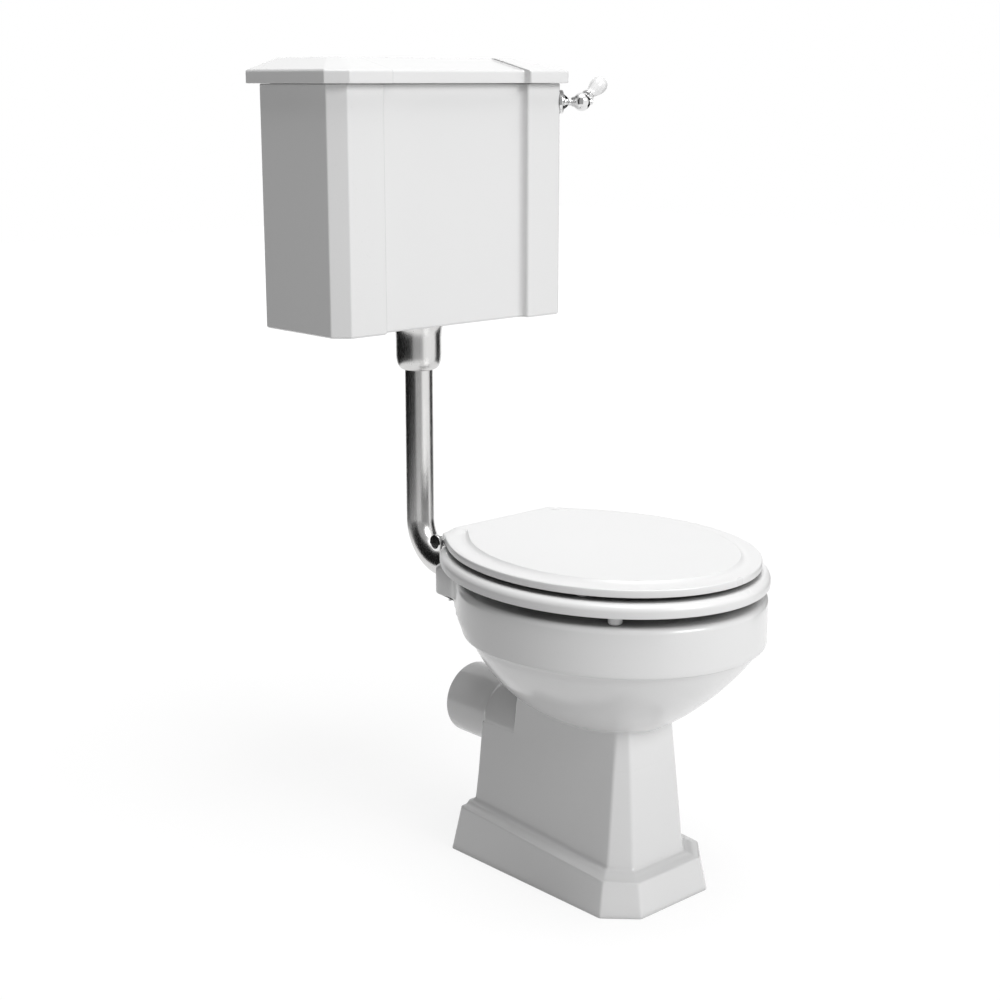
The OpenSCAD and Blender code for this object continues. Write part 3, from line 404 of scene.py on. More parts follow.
def arc(start, along, inward, radius, angle, steps):
    """Points of an arc behind its start: start + along r sin t + inward r (1 - cos t), for t up to an angle."""
    t = np.linspace(0, angle, steps + 1)[1:, None]
    return start + np.array(along) * radius * np.sin(t) + np.array(inward) * radius * (1 - np.cos(t))


def half_block(w, f, b, cut, soft, rear_soft):
    """Right half of a block with a cut front corner: straight front, arc, cut, arc, straight side, arc, straight
    rear, in 13, 6, 8, 6, 72, 8 and 12 points."""
    s = math.sqrt(0.5)
    k = soft * math.tan(math.pi / 8)
    front = np.column_stack([np.linspace(0, w - cut - k, 13), np.full(13, f)])
    a1 = arc(front[-1], (1, 0), (0, 1), soft, math.pi / 4, 6)
    end = np.array([w - k * s, f + cut - k * s])
    mid = a1[-1] + (end - a1[-1]) * np.linspace(0, 1, 9)[1:, None]
    a2 = arc(end, (s, s), (-s, s), soft, math.pi / 4, 6)
    side = np.column_stack([np.full(72, w), np.linspace(a2[-1][1], b - rear_soft, 73)[1:]])
    a3 = arc(side[-1], (0, 1), (-1, 0), rear_soft, math.pi / 2, 8)
    rear = np.column_stack([np.linspace(a3[-1][0], 0, 13)[1:], np.full(12, b)])
    return np.concatenate([front, a1, mid, a2, side, a3, rear])


def foot_line(inset):
    """Right half of the foot's outline, drawn in by an inset."""
    return half_block(100.7 - inset, -163.3 + inset, 163.3 - inset, 38 - 0.6 * inset, 6.0, 5.0)


def stem_line(z, inset=0.0, rear=147.0):
    """Right half of the pedestal's outline at a height: its sides and front lean in evenly with the height."""
    t = (z - 45) / 160
    return half_block(72 - 17 * t - inset, -134 + 16 * t + inset, rear - inset, 24 - 10 * t - 0.6 * inset, 7.0, 4.0)


def sloped(outline, front_z, rear_z):
    """Whole outline whose height runs evenly from the front to the rear of the foot's top."""
    half_length = 154.3
    t = (outline[:, 1] + half_length) / (2 * half_length)
    return np.column_stack([outline, front_z + (rear_z - front_z) * t])


def tilted(half, front_z, rear_z):
    """Half outline with its mirror image, laid on a slope."""
    return sloped(full(half), front_z, rear_z)


def bowl_line(z):
    """Right half of the bowl's outline at a height, on the smooth curves through the stations."""
    return half_egg(*stations(BOWL_STATIONS, z), WIDEST + WIDEST_SHIFT * (BAND_LOW - z) / BOWL_DROP, True)


def joined_line(z, low, high, stem_angles, band_angles):
    """Bowl and pedestal in one outline: at each polar angle the larger of the two distances, with a fillet.
    The angles pass from the pedestal's columns to the band's between two heights, by the smooth step."""
    s = ease(np.clip((z - low) / (high - low), 0, 1))
    angle = stem_angles * (1 - s) + band_angles * s
    return spokes(fillet_max(reach(stem_line(z, rear=STEM_REAR), angle), reach(bowl_line(z), angle), 2.5), angle)


def opening(grow):
    """Right half of the opening in the rim, grown by a distance."""
    return half_egg(140 + grow, -202 - grow, 100 + grow)


def sump_line(share, wall=13.0):
    """Right half of the inner bowl's outline at a share of the bowl's drop, a wall inside its shares of the band."""
    half, front, rear = stations(SUMP_SHARES[::-1], share)
    return half_egg(half * BAND[0] - wall, WIDEST - front * BAND[1] + wall, WIDEST + rear * 168 - wall,
                    WIDEST + WIDEST_SHIFT * share)


def pan_rings(foot_edge, rim_edge):
    """Rings of the pan from the hollow under the pedestal, round the foot, up the pedestal, the bowl, the band and
    the rim, over the edge and down the inside to the trap."""
    rings = [level(stem_line(z, 12 + i), z)
             for z, i in ((165, 8), (163.5, 2.5), (160, 0), (110, 0), (60, 0), (1, 0))]
    rings += [level(stem_line(0, 11.5), 0)] + stack(foot_line, ((1.0, 0), (0.3, 0.4), (0, 1.4)))
    # sides of the foot, and its rounded top edge: heights of that edge in front and behind
    front, rear, lean = 45.0, 64.0, 9
    rings += [tilted(foot_line(lean * s), s * (front - foot_edge), s * (rear - foot_edge))
              for s in (0.12, 0.4, 0.7, 0.92, 1.0)]
    rings += [tilted(foot_line(lean + i), front - foot_edge + r, rear - foot_edge + r)
              for i, r in quarter(foot_edge, 5)[1:]]
    # ledge, cove and the lower wall of the pedestal
    cove, ledge, stem_low = 6.0, 4.5, 52
    foot_top, stem_foot = full(foot_line(lean + foot_edge)), full(stem_line(stem_low, -cove))
    rings += [sloped(foot_top * (1 - s) + stem_foot * s, front + ledge * s * s, rear + ledge * s * s)
              for s in (0.12, 0.5, 0.88, 1.0)]
    rings += [tilted(stem_line(stem_low + up, out - cove), front + ledge + up, rear + ledge + up)
              for up, out in quarter(cove, 5)[1:]]
    rings += [tilted(stem_line(60 + 12 * s), 57 + 12 * s, 74.5 + 8.5 * s) for s in (0.5, 1.0)]
    rings += between(tilted(stem_line(72), 69, 83), level(stem_line(110), 110), (0.33, 0.67, 1.0))
    rings += [level(stem_line(z), z) for z in (135, 160, 175, 180.5)]
    rings += [level(stem_line(181.6, rear=r), z) for z, r in ((181.2, 140.0), (182.0, STEM_REAR))]
    # bowl over the pedestal, and the band with its rounded lower edge
    stem_angles, band_angles = polar(stem_line(STEM_TOP, rear=STEM_REAR)), polar(band_line(2.5))
    heights = np.concatenate([np.linspace(184, 214, 6), np.linspace(216, 246, 21), np.linspace(250, 342, 22)])
    rings += [level(joined_line(z, STEM_TOP, 340.0, stem_angles, band_angles), z) for z in heights]
    top = level(spokes(reach(bowl_line(BAND_LOW - 0.6), band_angles), band_angles), BAND_LOW - 0.8)
    rings += [top] + between(top, level(band_line(EDGE_INSET, 0.0), BAND_LOW), (0.25, 0.6, 1.0))
    rings += [level(band_line(EDGE_INSET - i, r / BAND_HIGH), BAND_LOW + r) for i, r in (
        (0.9, 0.25), (1.8, 0.9), (2.35, 1.7), (2.6, 2.8), (2.6, 7), (2.6, 11), (2.6, 15), (2.6, BAND_HIGH))]
    # deck, whose lower edge is rounded only behind the band, from one column to another
    behind = np.clip((np.arange(HALF + 1) - 92) / 4, 0, 1)[:, None]
    rings += [level(rim_line(0) * (1 - behind) + rim_line(i) * behind, DECK_LOW + r)
              for i, r in ((2.5, 0.0), (1.0, 0.6), (0.3, 1.5), (0.0, 2.8))]
    rings += stack(rim_line, ((0, 385.0),)) + stack(rim_line, quarter(rim_edge, 8), RIM_TOP - rim_edge)
    # flat top, and the rounded edge of the opening
    soft = 7.0
    rings += between(level(rim_line(rim_edge), RIM_TOP), level(opening(soft), RIM_TOP), (0.08, 0.35, 0.65, 0.92, 1.0))
    rings += [level(opening(soft - r), RIM_TOP - i) for i, r in quarter(soft, 6)[1:]]
    # lip, flushing channel, inner bowl, and the trap's first bend
    rings += stack(opening, ((0, 385), (0, 369), (1.3, 365.5), (4.5, 364), (7.7, 365.5), (9, 369), (9, 394)))
    rings += [level(half_egg(w, -62 - w, r), z) for w, r, z in
              ((152, 112, 396), (174, 127, 396), (177, 129, 393), (177, 129, 366))]
    rings += [level(sump_line(s), BAND_LOW - BOWL_DROP * s) for s in np.linspace(0, 1.22, 22)]
    bend = np.array([[-42, 150], [-37, 128], [-24, 106], [-4, 91], [16, 86]], float)
    return rings + list(hoops(bend, 38.5, mark_angles()))


def spout_rings():
    """Circles square to the wall for shoulder, outlet and bore: the radius follows a rounded profile, and the
    centre rises from the shoulder's to the outlet's by the smooth step as the radius falls."""
    shoulder, outlet, shoulder_z, outlet_z = 57.6, 50.7, 175.9, 182
    out = soften([[20, 60], [shoulder, 60], [shoulder, 142.5], [outlet, 149], [outlet, 190]], 6.0)
    lip = soften([[outlet, 200], [outlet, 229], [43.7, 229], [43.7, 150]], 2.2)
    p = np.concatenate([out, lip, [[43.7, 118], [40, 106], [30, 98], [12, 94]]])
    centre = shoulder_z + (outlet_z - shoulder_z) * ease(np.clip((p[:, 1:] - 141) / 10, 0, 1))
    centre[len(out) + len(lip):] = outlet_z
    a = round_angles()
    x = p[:, :1] * np.sin(a)
    return np.stack([x, np.broadcast_to(p[:, 1:], x.shape), centre + p[:, :1] * np.cos(a)], -1)


def pan_outlet_shells():
    """Shoulder of the pedestal and outlet spout, turned round level axes towards the wall, the trap's outer wall,
    and the sill that carries the floor fixings."""
    path = np.array([[0, -42, 176], [.25, -20, 108], [.5, 18, 86], [.75, 56, 100], [1, 96, 170]])
    path = np.column_stack(stations(path, np.linspace(0, 1, 24)))
    bar = round_polygon([[-62, 107], [62, 107], [62, 135], [-62, 135]], 2.0)
    return [shell(spout_rings()), shell(hoops(path, 49.0, round_angles(64))),
            shell([lift(bar, 0.6), lift(bar, 12.0)], "flat", "flat")]


def pan_horn_shells():
    """Inlet horn behind the deck: a short open spout with a rounded lip, flared where it leaves the bowl."""
    p = soften([[12, 128], [31, 128], [31, 226], [25, 226], [25, 150]], 1.8)
    flare = [[10, 138], [39, 141.8], [35, 143], [32.6, 146], [31.4, 151], [30.8, 156], [10, 157]]
    return [turned(line, axis("back", 0, 0, DECK_LOW)) for line in (np.concatenate([p, [[12, 149]]]), flare)]


# ---- cistern

TANK = dict(half=207.0, front=252.7, back=438.0, low=712.0, top=1036.0, cut=19.5, rear_cut=22.0, panel=127.0,
            deep=13.5)
LID_EDGE, LID_SLOPE = 17.5, 16.5


def tank_line(inset, z, soft=3.0, sunk_soft=9.0, grow=(0.0, 0.0), cuts=None, panel=None, slope=0.0):
    """Cistern outline at a height: a block with four cut corners and a sunk front panel. Drawn in by an inset, or
    grown to the sides and the front; slope moves sides, front and cuts in as the lid's slopes rise."""
    t = TANK
    w = t["half"] + grow[0] - inset - 52 * slope
    f = t["front"] - grow[1] + inset + 70 * slope
    b = t["back"] - inset * (0 if grow[0] else 1)
    cf, cb = cuts or (t["cut"], t["rear_cut"])
    shrink = inset * (2 - math.sqrt(2))
    cf, cb = (cf - shrink) * (1 - 0.4 * slope), max(1.5, cb - shrink)
    ph = (panel or t["panel"]) + (0 if grow[0] else inset)
    p = [[-w, b - cb], [-w, f + cf], [-w + cf, f], [-ph, f], [-ph, f + t["deep"]], [ph, f + t["deep"]], [ph, f],
         [w - cf, f], [w, f + cf], [w, b - cb], [w - cb, b], [-w + cb, b]]
    k, s = soft, sunk_soft
    ring = round_polygon(p, [k, k, k, 1.5 + k / 2, s, s, 1.5 + k / 2, k, k, k, k, k])
    return lift(ring, z)


def tank_rings(edge):
    """Rings of the cistern from its inner floor up the inner walls, over the top edge and down to the bottom."""
    low, top, wall = TANK["low"], TANK["top"], 10.0
    steps = [(wall + i, z) for i, z in ((3, low + 12), (0.8, low + 12.8), (0, low + 15), (0, low + 120),
                                        (0, top - 1.2), (-1, top))]
    steps += [(1, top), (0, top - 1.2), (0, top - 120), (0, low + 120), (0, low + edge)]
    steps += [(i, low + edge - r) for i, r in quarter(edge, 5)[1:]]
    return [tank_line(i, z, 4) for i, z in steps]


def lid_rings(edge):
    """Rings of the cistern lid from its recess, round the locating rim and the edge, up the slopes to the top."""
    top = TANK["top"]
    over, cuts, panel = (8.6, 12.2), (TANK["cut"] + 3.8, 3.0), TANK["panel"] - 6.3
    rings = [tank_line(i, top + z) for i, z in
             ((22, 8), (20.6, 6.5), (20.6, -8), (19.8, -9), (14, -9), (13.2, -8), (13.2, 0.3))]
    # inset, height over the body, share of the slope, softness of the corners
    steps = [(i, z, 0.0, 3.5) for i, z in ((1.2, 0.3), (0.3, 0.7), (0, 1.6), (0, 9), (0, LID_EDGE - edge))]
    steps += [(i * 0.92, LID_EDGE - edge + r, 0.0, 3.5) for i, r in quarter(edge, 5)[1:-1]]
    steps += [(0, LID_EDGE + LID_SLOPE * s - 0.15, s, 3.5 + 3 * s) for s in (0.045, 0.12, 0.35, 0.65, 0.9)]
    steps += [(0, LID_EDGE + z, s, 6.5) for s, z in ((0.96, 15.7), (1.0, 16.25), (1.05, LID_SLOPE))]
    return rings + [tank_line(i, top + z, soft, 3.0, over, cuts, panel, s) for i, z, s, soft in steps]


# ---- seat

RING_LOW, RING_T, LID_LOW, LID_T = 421.0, 17.0, 444.0, 10.0


def seat_line(inset, rear, rear_half, corner):
    """Right half of a seat outline, drawn in by an inset."""
    o = (192 - inset, 224 - inset, 235 - inset, rear_half, rear)
    return half_outline(o, rear, corner)


def ring_rings():
    """Rings of the seat ring in a closed loop: upright outer side that rounds over by an elliptic quarter, level
    top, and the smooth inner edge."""
    over, tall, soft = 10.5, 9.0, 1.2
    side = [(i, soft - r) for i, r in quarter(soft, 4)[::-1]]
    side += [(over * i, RING_T - tall + tall * r) for i, r in quarter(1.0, 14)]
    edge = smooth_profile([[22, 17.0], [14, 16.5], [8, 14.9], [2, 11.6], [0, 7.6], [1.8, 2.6], [6, 0.0]], 3)

    def outer(i):
        return seat_line(i, 164 - 0.4 * i, 98 - i, 8)

    def hole(i):
        return half_egg(116 + i, WIDEST - 140 - i, WIDEST + 146 + i)
    top, low = RING_LOW + RING_T, RING_LOW
    rings = stack(outer, side, low) + between(level(outer(over), top), level(hole(22), top), (0.3, 0.7))
    return rings + stack(hole, edge, low) + between(level(hole(6), low), level(outer(soft), low), (0.35, 0.7))


def lid_plan(inset):
    """Right half of the seat lid's outline; the rear edge stays in place."""
    return seat_line(11 + inset, 167, 104 - inset, 3)


def seat_lid_rings(border, rise):
    """Rings of the seat lid: soft lower edge, thin rim, and a border that rises to the raised panel as one wide
    cove, by 1.3 s^5 - 0.3 s^2 of the rise. Near the rear edge the cove rises to the panel's height and ends."""
    z, rim = LID_LOW + LID_T, 3
    edge = [[1.2, LID_LOW], [0.35, LID_LOW + 0.35], [0, LID_LOW + 1.2], [0, z - 1.8], [0.3, z - 0.75],
            [0.95, z - 0.2], [2.0, z]]
    t = np.sin(np.linspace(0, np.pi / 2, 15))[1:-1]
    cove = np.column_stack([rim + (border - rim) * t, z + rise * (1.3 * t**5 - 0.3 * t**2)])
    top = [[border + i, z + rise - h] for i, h in ((-0.25, 0.3), (0.15, 0.06), (0.8, 0), (5, 0))]
    rings = []
    for i, h in edge + cove.tolist() + top:
        ring = level(lid_plan(i), h)
        near = np.clip((ring[:, 1] - 145) / 8, 0, 1) * min(1.0, max(0.0, (i - rim) / (border - 12)))
        ring[:, 2] += ease(near) * (z + rise - h)
        rings.append(ring)
    return rings


# ---- metal, porcelain and plastic pieces

PIPE_Y, PIPE_R, BEND_R, INLET_Z = 342.4, 20.0, 58.5, 367.0


def pipe_rings():
    """Flush pipe: circles square to its centre line, which runs level out of the horn, turns up through a quarter
    circle of the bend radius and rises; the bore comes back inside the wall."""
    a = np.linspace(0, math.pi / 2, 33)
    level_run = np.column_stack([np.linspace(176, PIPE_Y - BEND_R, 10)[:-1], np.full(9, INLET_Z)])
    bend = np.column_stack([PIPE_Y - BEND_R + BEND_R * np.sin(a), INLET_Z + BEND_R - BEND_R * np.cos(a)])
    rise = np.column_stack([np.full(12, PIPE_Y), np.linspace(INLET_Z + BEND_R, 667.9, 13)[1:]])
    path = np.concatenate([level_run, bend, rise])
    return np.concatenate([hoops(path, PIPE_R, round_angles()), hoops(path, PIPE_R - 1.5, round_angles())[::-1]])


COVER_PROFILE = [[20.3, 0.9], [20.6, 0.2], [23, 0.4], [26.6, 2.6], [29.8, 7.4], [31.6, 14], [32.3, 22], [32.3, 44],
                 [32.8, 52], [34.2, 60], [36.4, 66.6], [37, 69.2], [36.9, 70], [35.6, 70], [33.4, 64], [31.7, 54],
                 [30.9, 44], [30.9, 22], [30.2, 14.8], [28.4, 9], [25.8, 5], [22.6, 2.4], [20.4, 2.0]]


LEVER_AT, BALL_OUT, BALL_R, COLLAR_END = (197.25, 262.45, 1010.7), 31, 13, 17.6


def lever_frame(out=0.0):
    """Frame of the lever's axis: out of the corner face, to the right and to the front."""
    s = math.sqrt(0.5)
    x, y, z = LEVER_AT
    return (x + out * s, y - out * s, z), (0, 0, 1), (s, -s, 0)


def handle_frame():
    """Frame of the handle: from the ball's centre, to the right and up."""
    rise = math.radians(33.6)
    return lever_frame(BALL_OUT)[0], (0, 1, 0), (math.cos(rise), 0, math.sin(rise))


def lever_profiles():
    """Profiles of flange, spindle, collar and handle. The spindle's ball is r sin a, centre - r cos a."""
    flange = soften([[4.1, -22], [6.5, -22], [6.5, 0], [16.5, 0], [16.5, 4.2], [15.2, 5.3], [13.4, 5.5], [10.2, 7.6],
                     [7.6, 10.6], [6.2, 11.6], [5.8, 12], [4.1, 12]], 0.8)
    stem = soften([[0, -146], [4, -146], [4, 12.3], [5.8, 12.3], [5.8, 14.6], [5.0, 15.4], [7.2, 18.0]], 0.6)
    a = np.radians(np.linspace(36, 160, 22))
    ball = np.column_stack([BALL_R * np.sin(a), BALL_OUT - BALL_R * np.cos(a)])
    tip = soften([[4.5, 43.2], [3.9, 44], [4.1, 45.2], [3.4, 46.8], [1.8, 47.2]], 0.5)
    collar = soften([[0.4, 10.9], [7.4, 10.9], [9.0, 12.2], [9.6, 13.4], [8.9, 14.6], [7.9, 15.2], [8.8, 16.0],
                     [8.4, 17.0], [7.4, COLLAR_END], [0.4, COLLAR_END]], 0.5)
    radius, long = 12.2, 53 - COLLAR_END
    grip = np.array([[.62, .0], [.585, .05], [.60, .11], [.655, .18], [.735, .26], [.825, .35], [.91, .44],
                     [.97, .53], [1, .62], [.985, .72], [.915, .81], [.79, .885], [.62, .94], [.42, .975], [.2, .994]])
    grip = smooth_profile(grip * (radius, long) + (0, COLLAR_END), 2)
    return flange, np.concatenate([stem, ball, tip]), collar, grip


HINGE_Y, HINGE_Z, KNUCKLE_R, BAR_R = 174.0, 440.0, 7.3, 4.5


def mirrored(shells):
    """The same shells and their mirror image in x, whose faces turn the other way round."""
    return shells + [(p * np.array([-1, 1, 1]), [f[::-1] for f in faces]) for p, faces in shells]


def hinge_part(profile, edge, loop=False):
    """Piece turned round the hinge bar's axis: a profile of (radius, x) with softened corners."""
    return turned(soften(profile, edge), axis("across", 0, HINGE_Y, HINGE_Z), loop=loop)


def sleeve(x0, x1, gap, edge):
    """Barrel round the hinge bar, with a gap between them."""
    inner = BAR_R + gap
    return hinge_part([[inner, x0], [KNUCKLE_R, x0], [KNUCKLE_R, x1], [inner, x1]], edge, loop=True)


def plate(x0, x1, y0, y1, z0, z1, corner=2.0, edge=0.7):
    """Flat plate with rounded corners and edges: rounded outlines drawn in by r (1 - cos a) at both faces."""
    def ring(i, z):
        corners = [[x0 + i, y0 + i], [x1 - i, y0 + i], [x1 - i, y1 - i], [x0 + i, y1 - i]]
        return lift(round_polygon(corners, max(0.3, corner - i), 4, 2), z)
    steps = quarter(edge, 3)
    rings = [ring(i, z0 + edge - r) for i, r in steps[::-1]] + [ring(i, z1 - edge + r) for i, r in steps]
    return shell(rings, "flat", "flat")


def knuckle_shells(x0, x1, low, thick, reach_y):
    """Hinge knuckle with its leaf under the seat: a barrel round the bar and a plate that runs forward from it."""
    return mirrored([sleeve(x0, x1, 0.1, 0.6), plate(x0, x1, HINGE_Y - reach_y, HINGE_Y, low, low + thick)])


def post_shells():
    """Hinge posts: a stem on a flange on the deck, its head round the bar, and a bolt down through the deck."""
    stem = [[0.2, 343], [3.3, 343], [4, 344], [4, 408.05], [14, 408.05], [14, 410], [12.6, 411], [9.4, 411.4],
            [8.1, 413], [7.8, 420], [7.2, 430], [7.0, 438], [0.2, 440]]
    return mirrored([turned(soften(stem, 0.8), axis("up", 77.5, HINGE_Y, 0)), sleeve(69.5, 85.5, 0.02, 1.2)])


def bar_shells():
    """Hinge bar with a turned cap at each end."""
    bar, end = 111, 110.5
    cap = [[0, end], [10.3, end], [11.25, 111.6], [11.25, 114.9], [10.4, 116], [8, 116.25], [0, 116.3]]
    return [hinge_part([[0, -bar], [BAR_R, -bar], [BAR_R, bar], [0, bar]], 0.8)] + mirrored([hinge_part(cap, 0.6)])


def buffer_shells(pads, low, high, radius, swell):
    """Rubber-footed buffers: short turned studs between the seat and what it rests on, at (x, y) and at (-x, y)."""
    p = soften([[0, low], [radius - swell, low], [radius, low + swell], [radius, high], [0, high]], 1.4)
    return [turned(p, axis("up", side * x, y, 0), 48) for x, y in pads for side in (1, -1)]


# ---- finishes

WHITE = (1, 1, 1, 1)
SOCKETS = {1: "NodeSocketFloat", 3: "NodeSocketVector", 4: "NodeSocketColor"}


def feed(tree, node, inputs):
    """Gives a node its inputs: a socket is linked, and anything else becomes the input's own value."""
    for key, value in inputs.items():
        if isinstance(value, bpy.types.NodeSocket):
            tree.links.new(value, node.inputs[key])
        else:
            node.inputs[key].default_value = value


def add(tree, kind, inputs=None, **settings):
    """Shader node of a kind with its properties set and its inputs fed."""
    node = tree.nodes.new("ShaderNode" + kind)
    for key, value in settings.items():
        setattr(node, key, value)
    feed(tree, node, inputs or {})
    return node


def noise(tree, vector, scale, detail):
    """Noise texture on a vector."""
    return add(tree, "TexNoise", {"Vector": vector, "Scale": scale, "Detail": detail}).outputs["Fac"]


def spread(tree, value, low, high, start=0.3, end=0.7):
    """Map Range from the middle of a noise's values to low and high."""
    ends = {"From Min": start, "From Max": end, "To Min": low, "To Max": high}
    return add(tree, "MapRange", {"Value": value, **ends}).outputs["Result"]


def combine(tree, operation, a, b):
    """Sum, product or larger of two numbers."""
    return add(tree, "Math", {0: a, 1: b}, operation=operation).outputs[0]


def blend(tree, share, a, b):
    """Mix of two colours."""
    return add(tree, "Mix", {"Factor": share, "A": a, "B": b}, data_type="RGBA").outputs["Result"]


def scaled(tree, colour, factor):
    """Colour times a number."""
    return add(tree, "VectorMath", {0: colour, "Scale": factor}, operation="SCALE").outputs["Vector"]


def new_group(name, inputs):
    """Shader node group that takes named numbers, vectors and colours, and gives Color, Roughness and Height."""
    group = bpy.data.node_groups.new(name, "ShaderNodeTree")
    for label, value in inputs.items():
        socket = group.interface.new_socket(name=label, in_out="INPUT", socket_type=SOCKETS[np.size(value)])
        socket.default_value = value
    for label, size in (("Color", 4), ("Roughness", 1), ("Height", 1)):
        group.interface.new_socket(name=label, in_out="OUTPUT", socket_type=SOCKETS[size])
    where = add(group, "TexCoord").outputs["Object"]
    return group, group.nodes.new("NodeGroupInput").outputs, group.nodes.new("NodeGroupOutput"), where


def build_pooled_finish():
    """Fired or moulded surface: slow waves and fine ripple as a height, roughness that drifts in patches, and a
    colour that drifts between two tints, with sparse fine specks of the second one."""
    group, take, give, where = new_group("Pooled Finish", {
        "Tint A": (.9, .9, .9, 1), "Tint B": (.88, .88, .88, 1), "Wave Scale": 9.0, "Ripple Scale": 140.0,
        "Ripple Share": 0.25, "Rough Low": 0.15, "Rough High": 0.25, "Speck Scale": 260.0})
    wave = noise(group, where, take["Wave Scale"], 1.0)
    ripple = combine(group, "MULTIPLY", noise(group, where, take["Ripple Scale"], 2.0), take["Ripple Share"])
    patch = noise(group, where, 5.0, 3.0)
    speck = spread(group, noise(group, where, take["Speck Scale"], 0.0), 0.0, 1.0, 0.79, 0.83)
    drift = spread(group, noise(group, where, 3.0, 2.0), 0.0, 0.6)
    feed(group, give, {
        "Height": combine(group, "ADD", wave, ripple),
        "Roughness": spread(group, patch, take["Rough Low"], take["Rough High"]),
        "Color": blend(group, combine(group, "MAXIMUM", speck, drift), take["Tint A"], take["Tint B"])})
    return group


def build_drawn_metal():
    """Drawn or brushed metal: noise stretched along one axis gives fine streaks in roughness and height, and a slow
    noise dulls the colour in patches, as handling marks do."""
    group, take, give, where = new_group("Drawn Metal", {
        "Bright": (.7, .7, .69, 1), "Dull": (.6, .6, .59, 1), "Stretch": (1.0, 1.0, 0.02), "Streak Scale": 700.0,
        "Rough Low": 0.2, "Rough High": 0.3})
    long = add(group, "VectorMath", {0: where, 1: take["Stretch"]}, operation="MULTIPLY").outputs["Vector"]
    streak = noise(group, long, take["Streak Scale"], 3.0)
    dulled = spread(group, noise(group, where, 22.0, 4.0), 0.0, 1.0)
    feed(group, give, {"Height": streak, "Roughness": spread(group, streak, take["Rough Low"], take["Rough High"]),
                       "Color": blend(group, dulled, take["Bright"], take["Dull"])})
    return group


def new_material(name):
    """Material with its node tree and its shader."""
    material = bpy.data.materials.new(name)
    material.use_nodes = True
    return material, material.node_tree, material.node_tree.nodes["Principled BSDF"]


def finish(name, group, values, bump, distance, deep, constants):
    """Material: a group's colour and roughness, its height through a bump, and constants on the shader itself. With
    a deep length the colour carries painted shade: it darkens in narrow gaps, where less light reaches within that
    length."""
    _, tree, shader = new_material(name)
    out = add(tree, "Group", values, node_tree=group).outputs
    colour = out["Color"]
    if deep:
        # painted shade: ambient occlusion scales the base colour down to 0.3 in narrow gaps and hollows
        light = add(tree, "AmbientOcclusion", {"Distance": deep}, samples=4).outputs["AO"]
        colour = scaled(tree, colour, spread(tree, light, 0.3, 1.0, 0.05, 0.62))
    raised = add(tree, "Bump", {"Strength": bump, "Distance": distance, "Height": out["Height"]}).outputs["Normal"]
    feed(tree, shader, {"Base Color": colour, "Roughness": out["Roughness"], "Normal": raised, **constants})


def tint(colour, factor=1.0):
    """Colour as four numbers, scaled."""
    return (*(c * factor for c in colour), 1.0)


def material_of(name):
    """A finish made by the finishes operator."""
    found = bpy.data.materials.get(name)
    if found is None:
        raise RuntimeError(f"the finish {name} is missing: run Make finishes first")
    return found


def dress(node, finish_name):
    """Gives a shown CAD node its finish and slot."""
    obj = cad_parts[node]
    material = material_of(finish_name)
    if not obj.material_slots:
        obj.data.materials.append(material)
    for entry in obj.material_slots:
        entry.material = material


# ---- what a user may change

def colour(name, description, *default):
    """Setting for a colour."""
    return bpy.props.FloatVectorProperty(name=name, description=description, subtype="COLOR", size=3,
                                         default=default, min=0.0, max=1.0)


def number(name, description, default, low, high, **kind):
    """Setting for a number between two limits."""
    return bpy.props.FloatProperty(name=name, description=description, default=default, min=low, max=high, **kind)


def length(name, description, default, low, high):
    """Setting for a length in metres."""
    return number(name, description, default, low, high, unit="LENGTH", subtype="DISTANCE")


class WCFinishes(bpy.types.PropertyGroup):
    """Colours and gloss of the pieces."""
    glaze: colour("Glaze", "Colour of the glazed china", 0.79, 0.79, 0.79)
    seat: colour("Seat", "Colour of the seat and its lid", 0.785, 0.785, 0.785)
    steel: colour("Pipe metal", "Colour of the satin flush pipe", 0.72, 0.715, 0.71)
    glaze_rough: number("Glaze roughness", "Roughness of the glaze where it is smoothest", 0.16, 0.02, 0.6,
                        subtype="FACTOR")
    steel_rough: number("Pipe roughness", "Roughness of the satin metal", 0.26, 0.05, 0.6, subtype="FACTOR")


class WCRoundings(bpy.types.PropertyGroup):
    """Sizes of edges that the solids leave plain."""
    foot_edge: length("Foot edge", "Rounding of the foot's upper edge", 0.0028, 0.001, 0.006)
    rim_edge: length("Rim edge", "Rounding of the pan's upper edge", 0.008, 0.003, 0.012)
    tank_edge: length("Cistern lower edge", "Rounding of the cistern's lower edge", 0.0035, 0.001, 0.008)
    lid_edge: length("Cistern lid edge", "Rounding of the cistern lid's edge", 0.003, 0.001, 0.005)
    seat_border: length("Seat lid border", "Width of the sunk border round the lid's panel", 0.027, 0.014, 0.03)
    seat_rise: length("Seat lid panel rise", "Height of the lid's panel above its border", 0.004, 0.001, 0.004)


class WCStudio(bpy.types.PropertyGroup):
    """Light and floor."""
    room: number("Room light", "Even light from all round", 0.22, 0.0, 1.0)
    front: number("Front light", "Power of the softbox in front", 321.0, 0.0, 2000.0, unit="POWER")
    overhead: number("Overhead light", "Power of the softbox above", 425.0, 0.0, 2000.0, unit="POWER")
    floor: colour("Floor", "Colour of the floor", 0.79, 0.79, 0.79)


# ---- operators

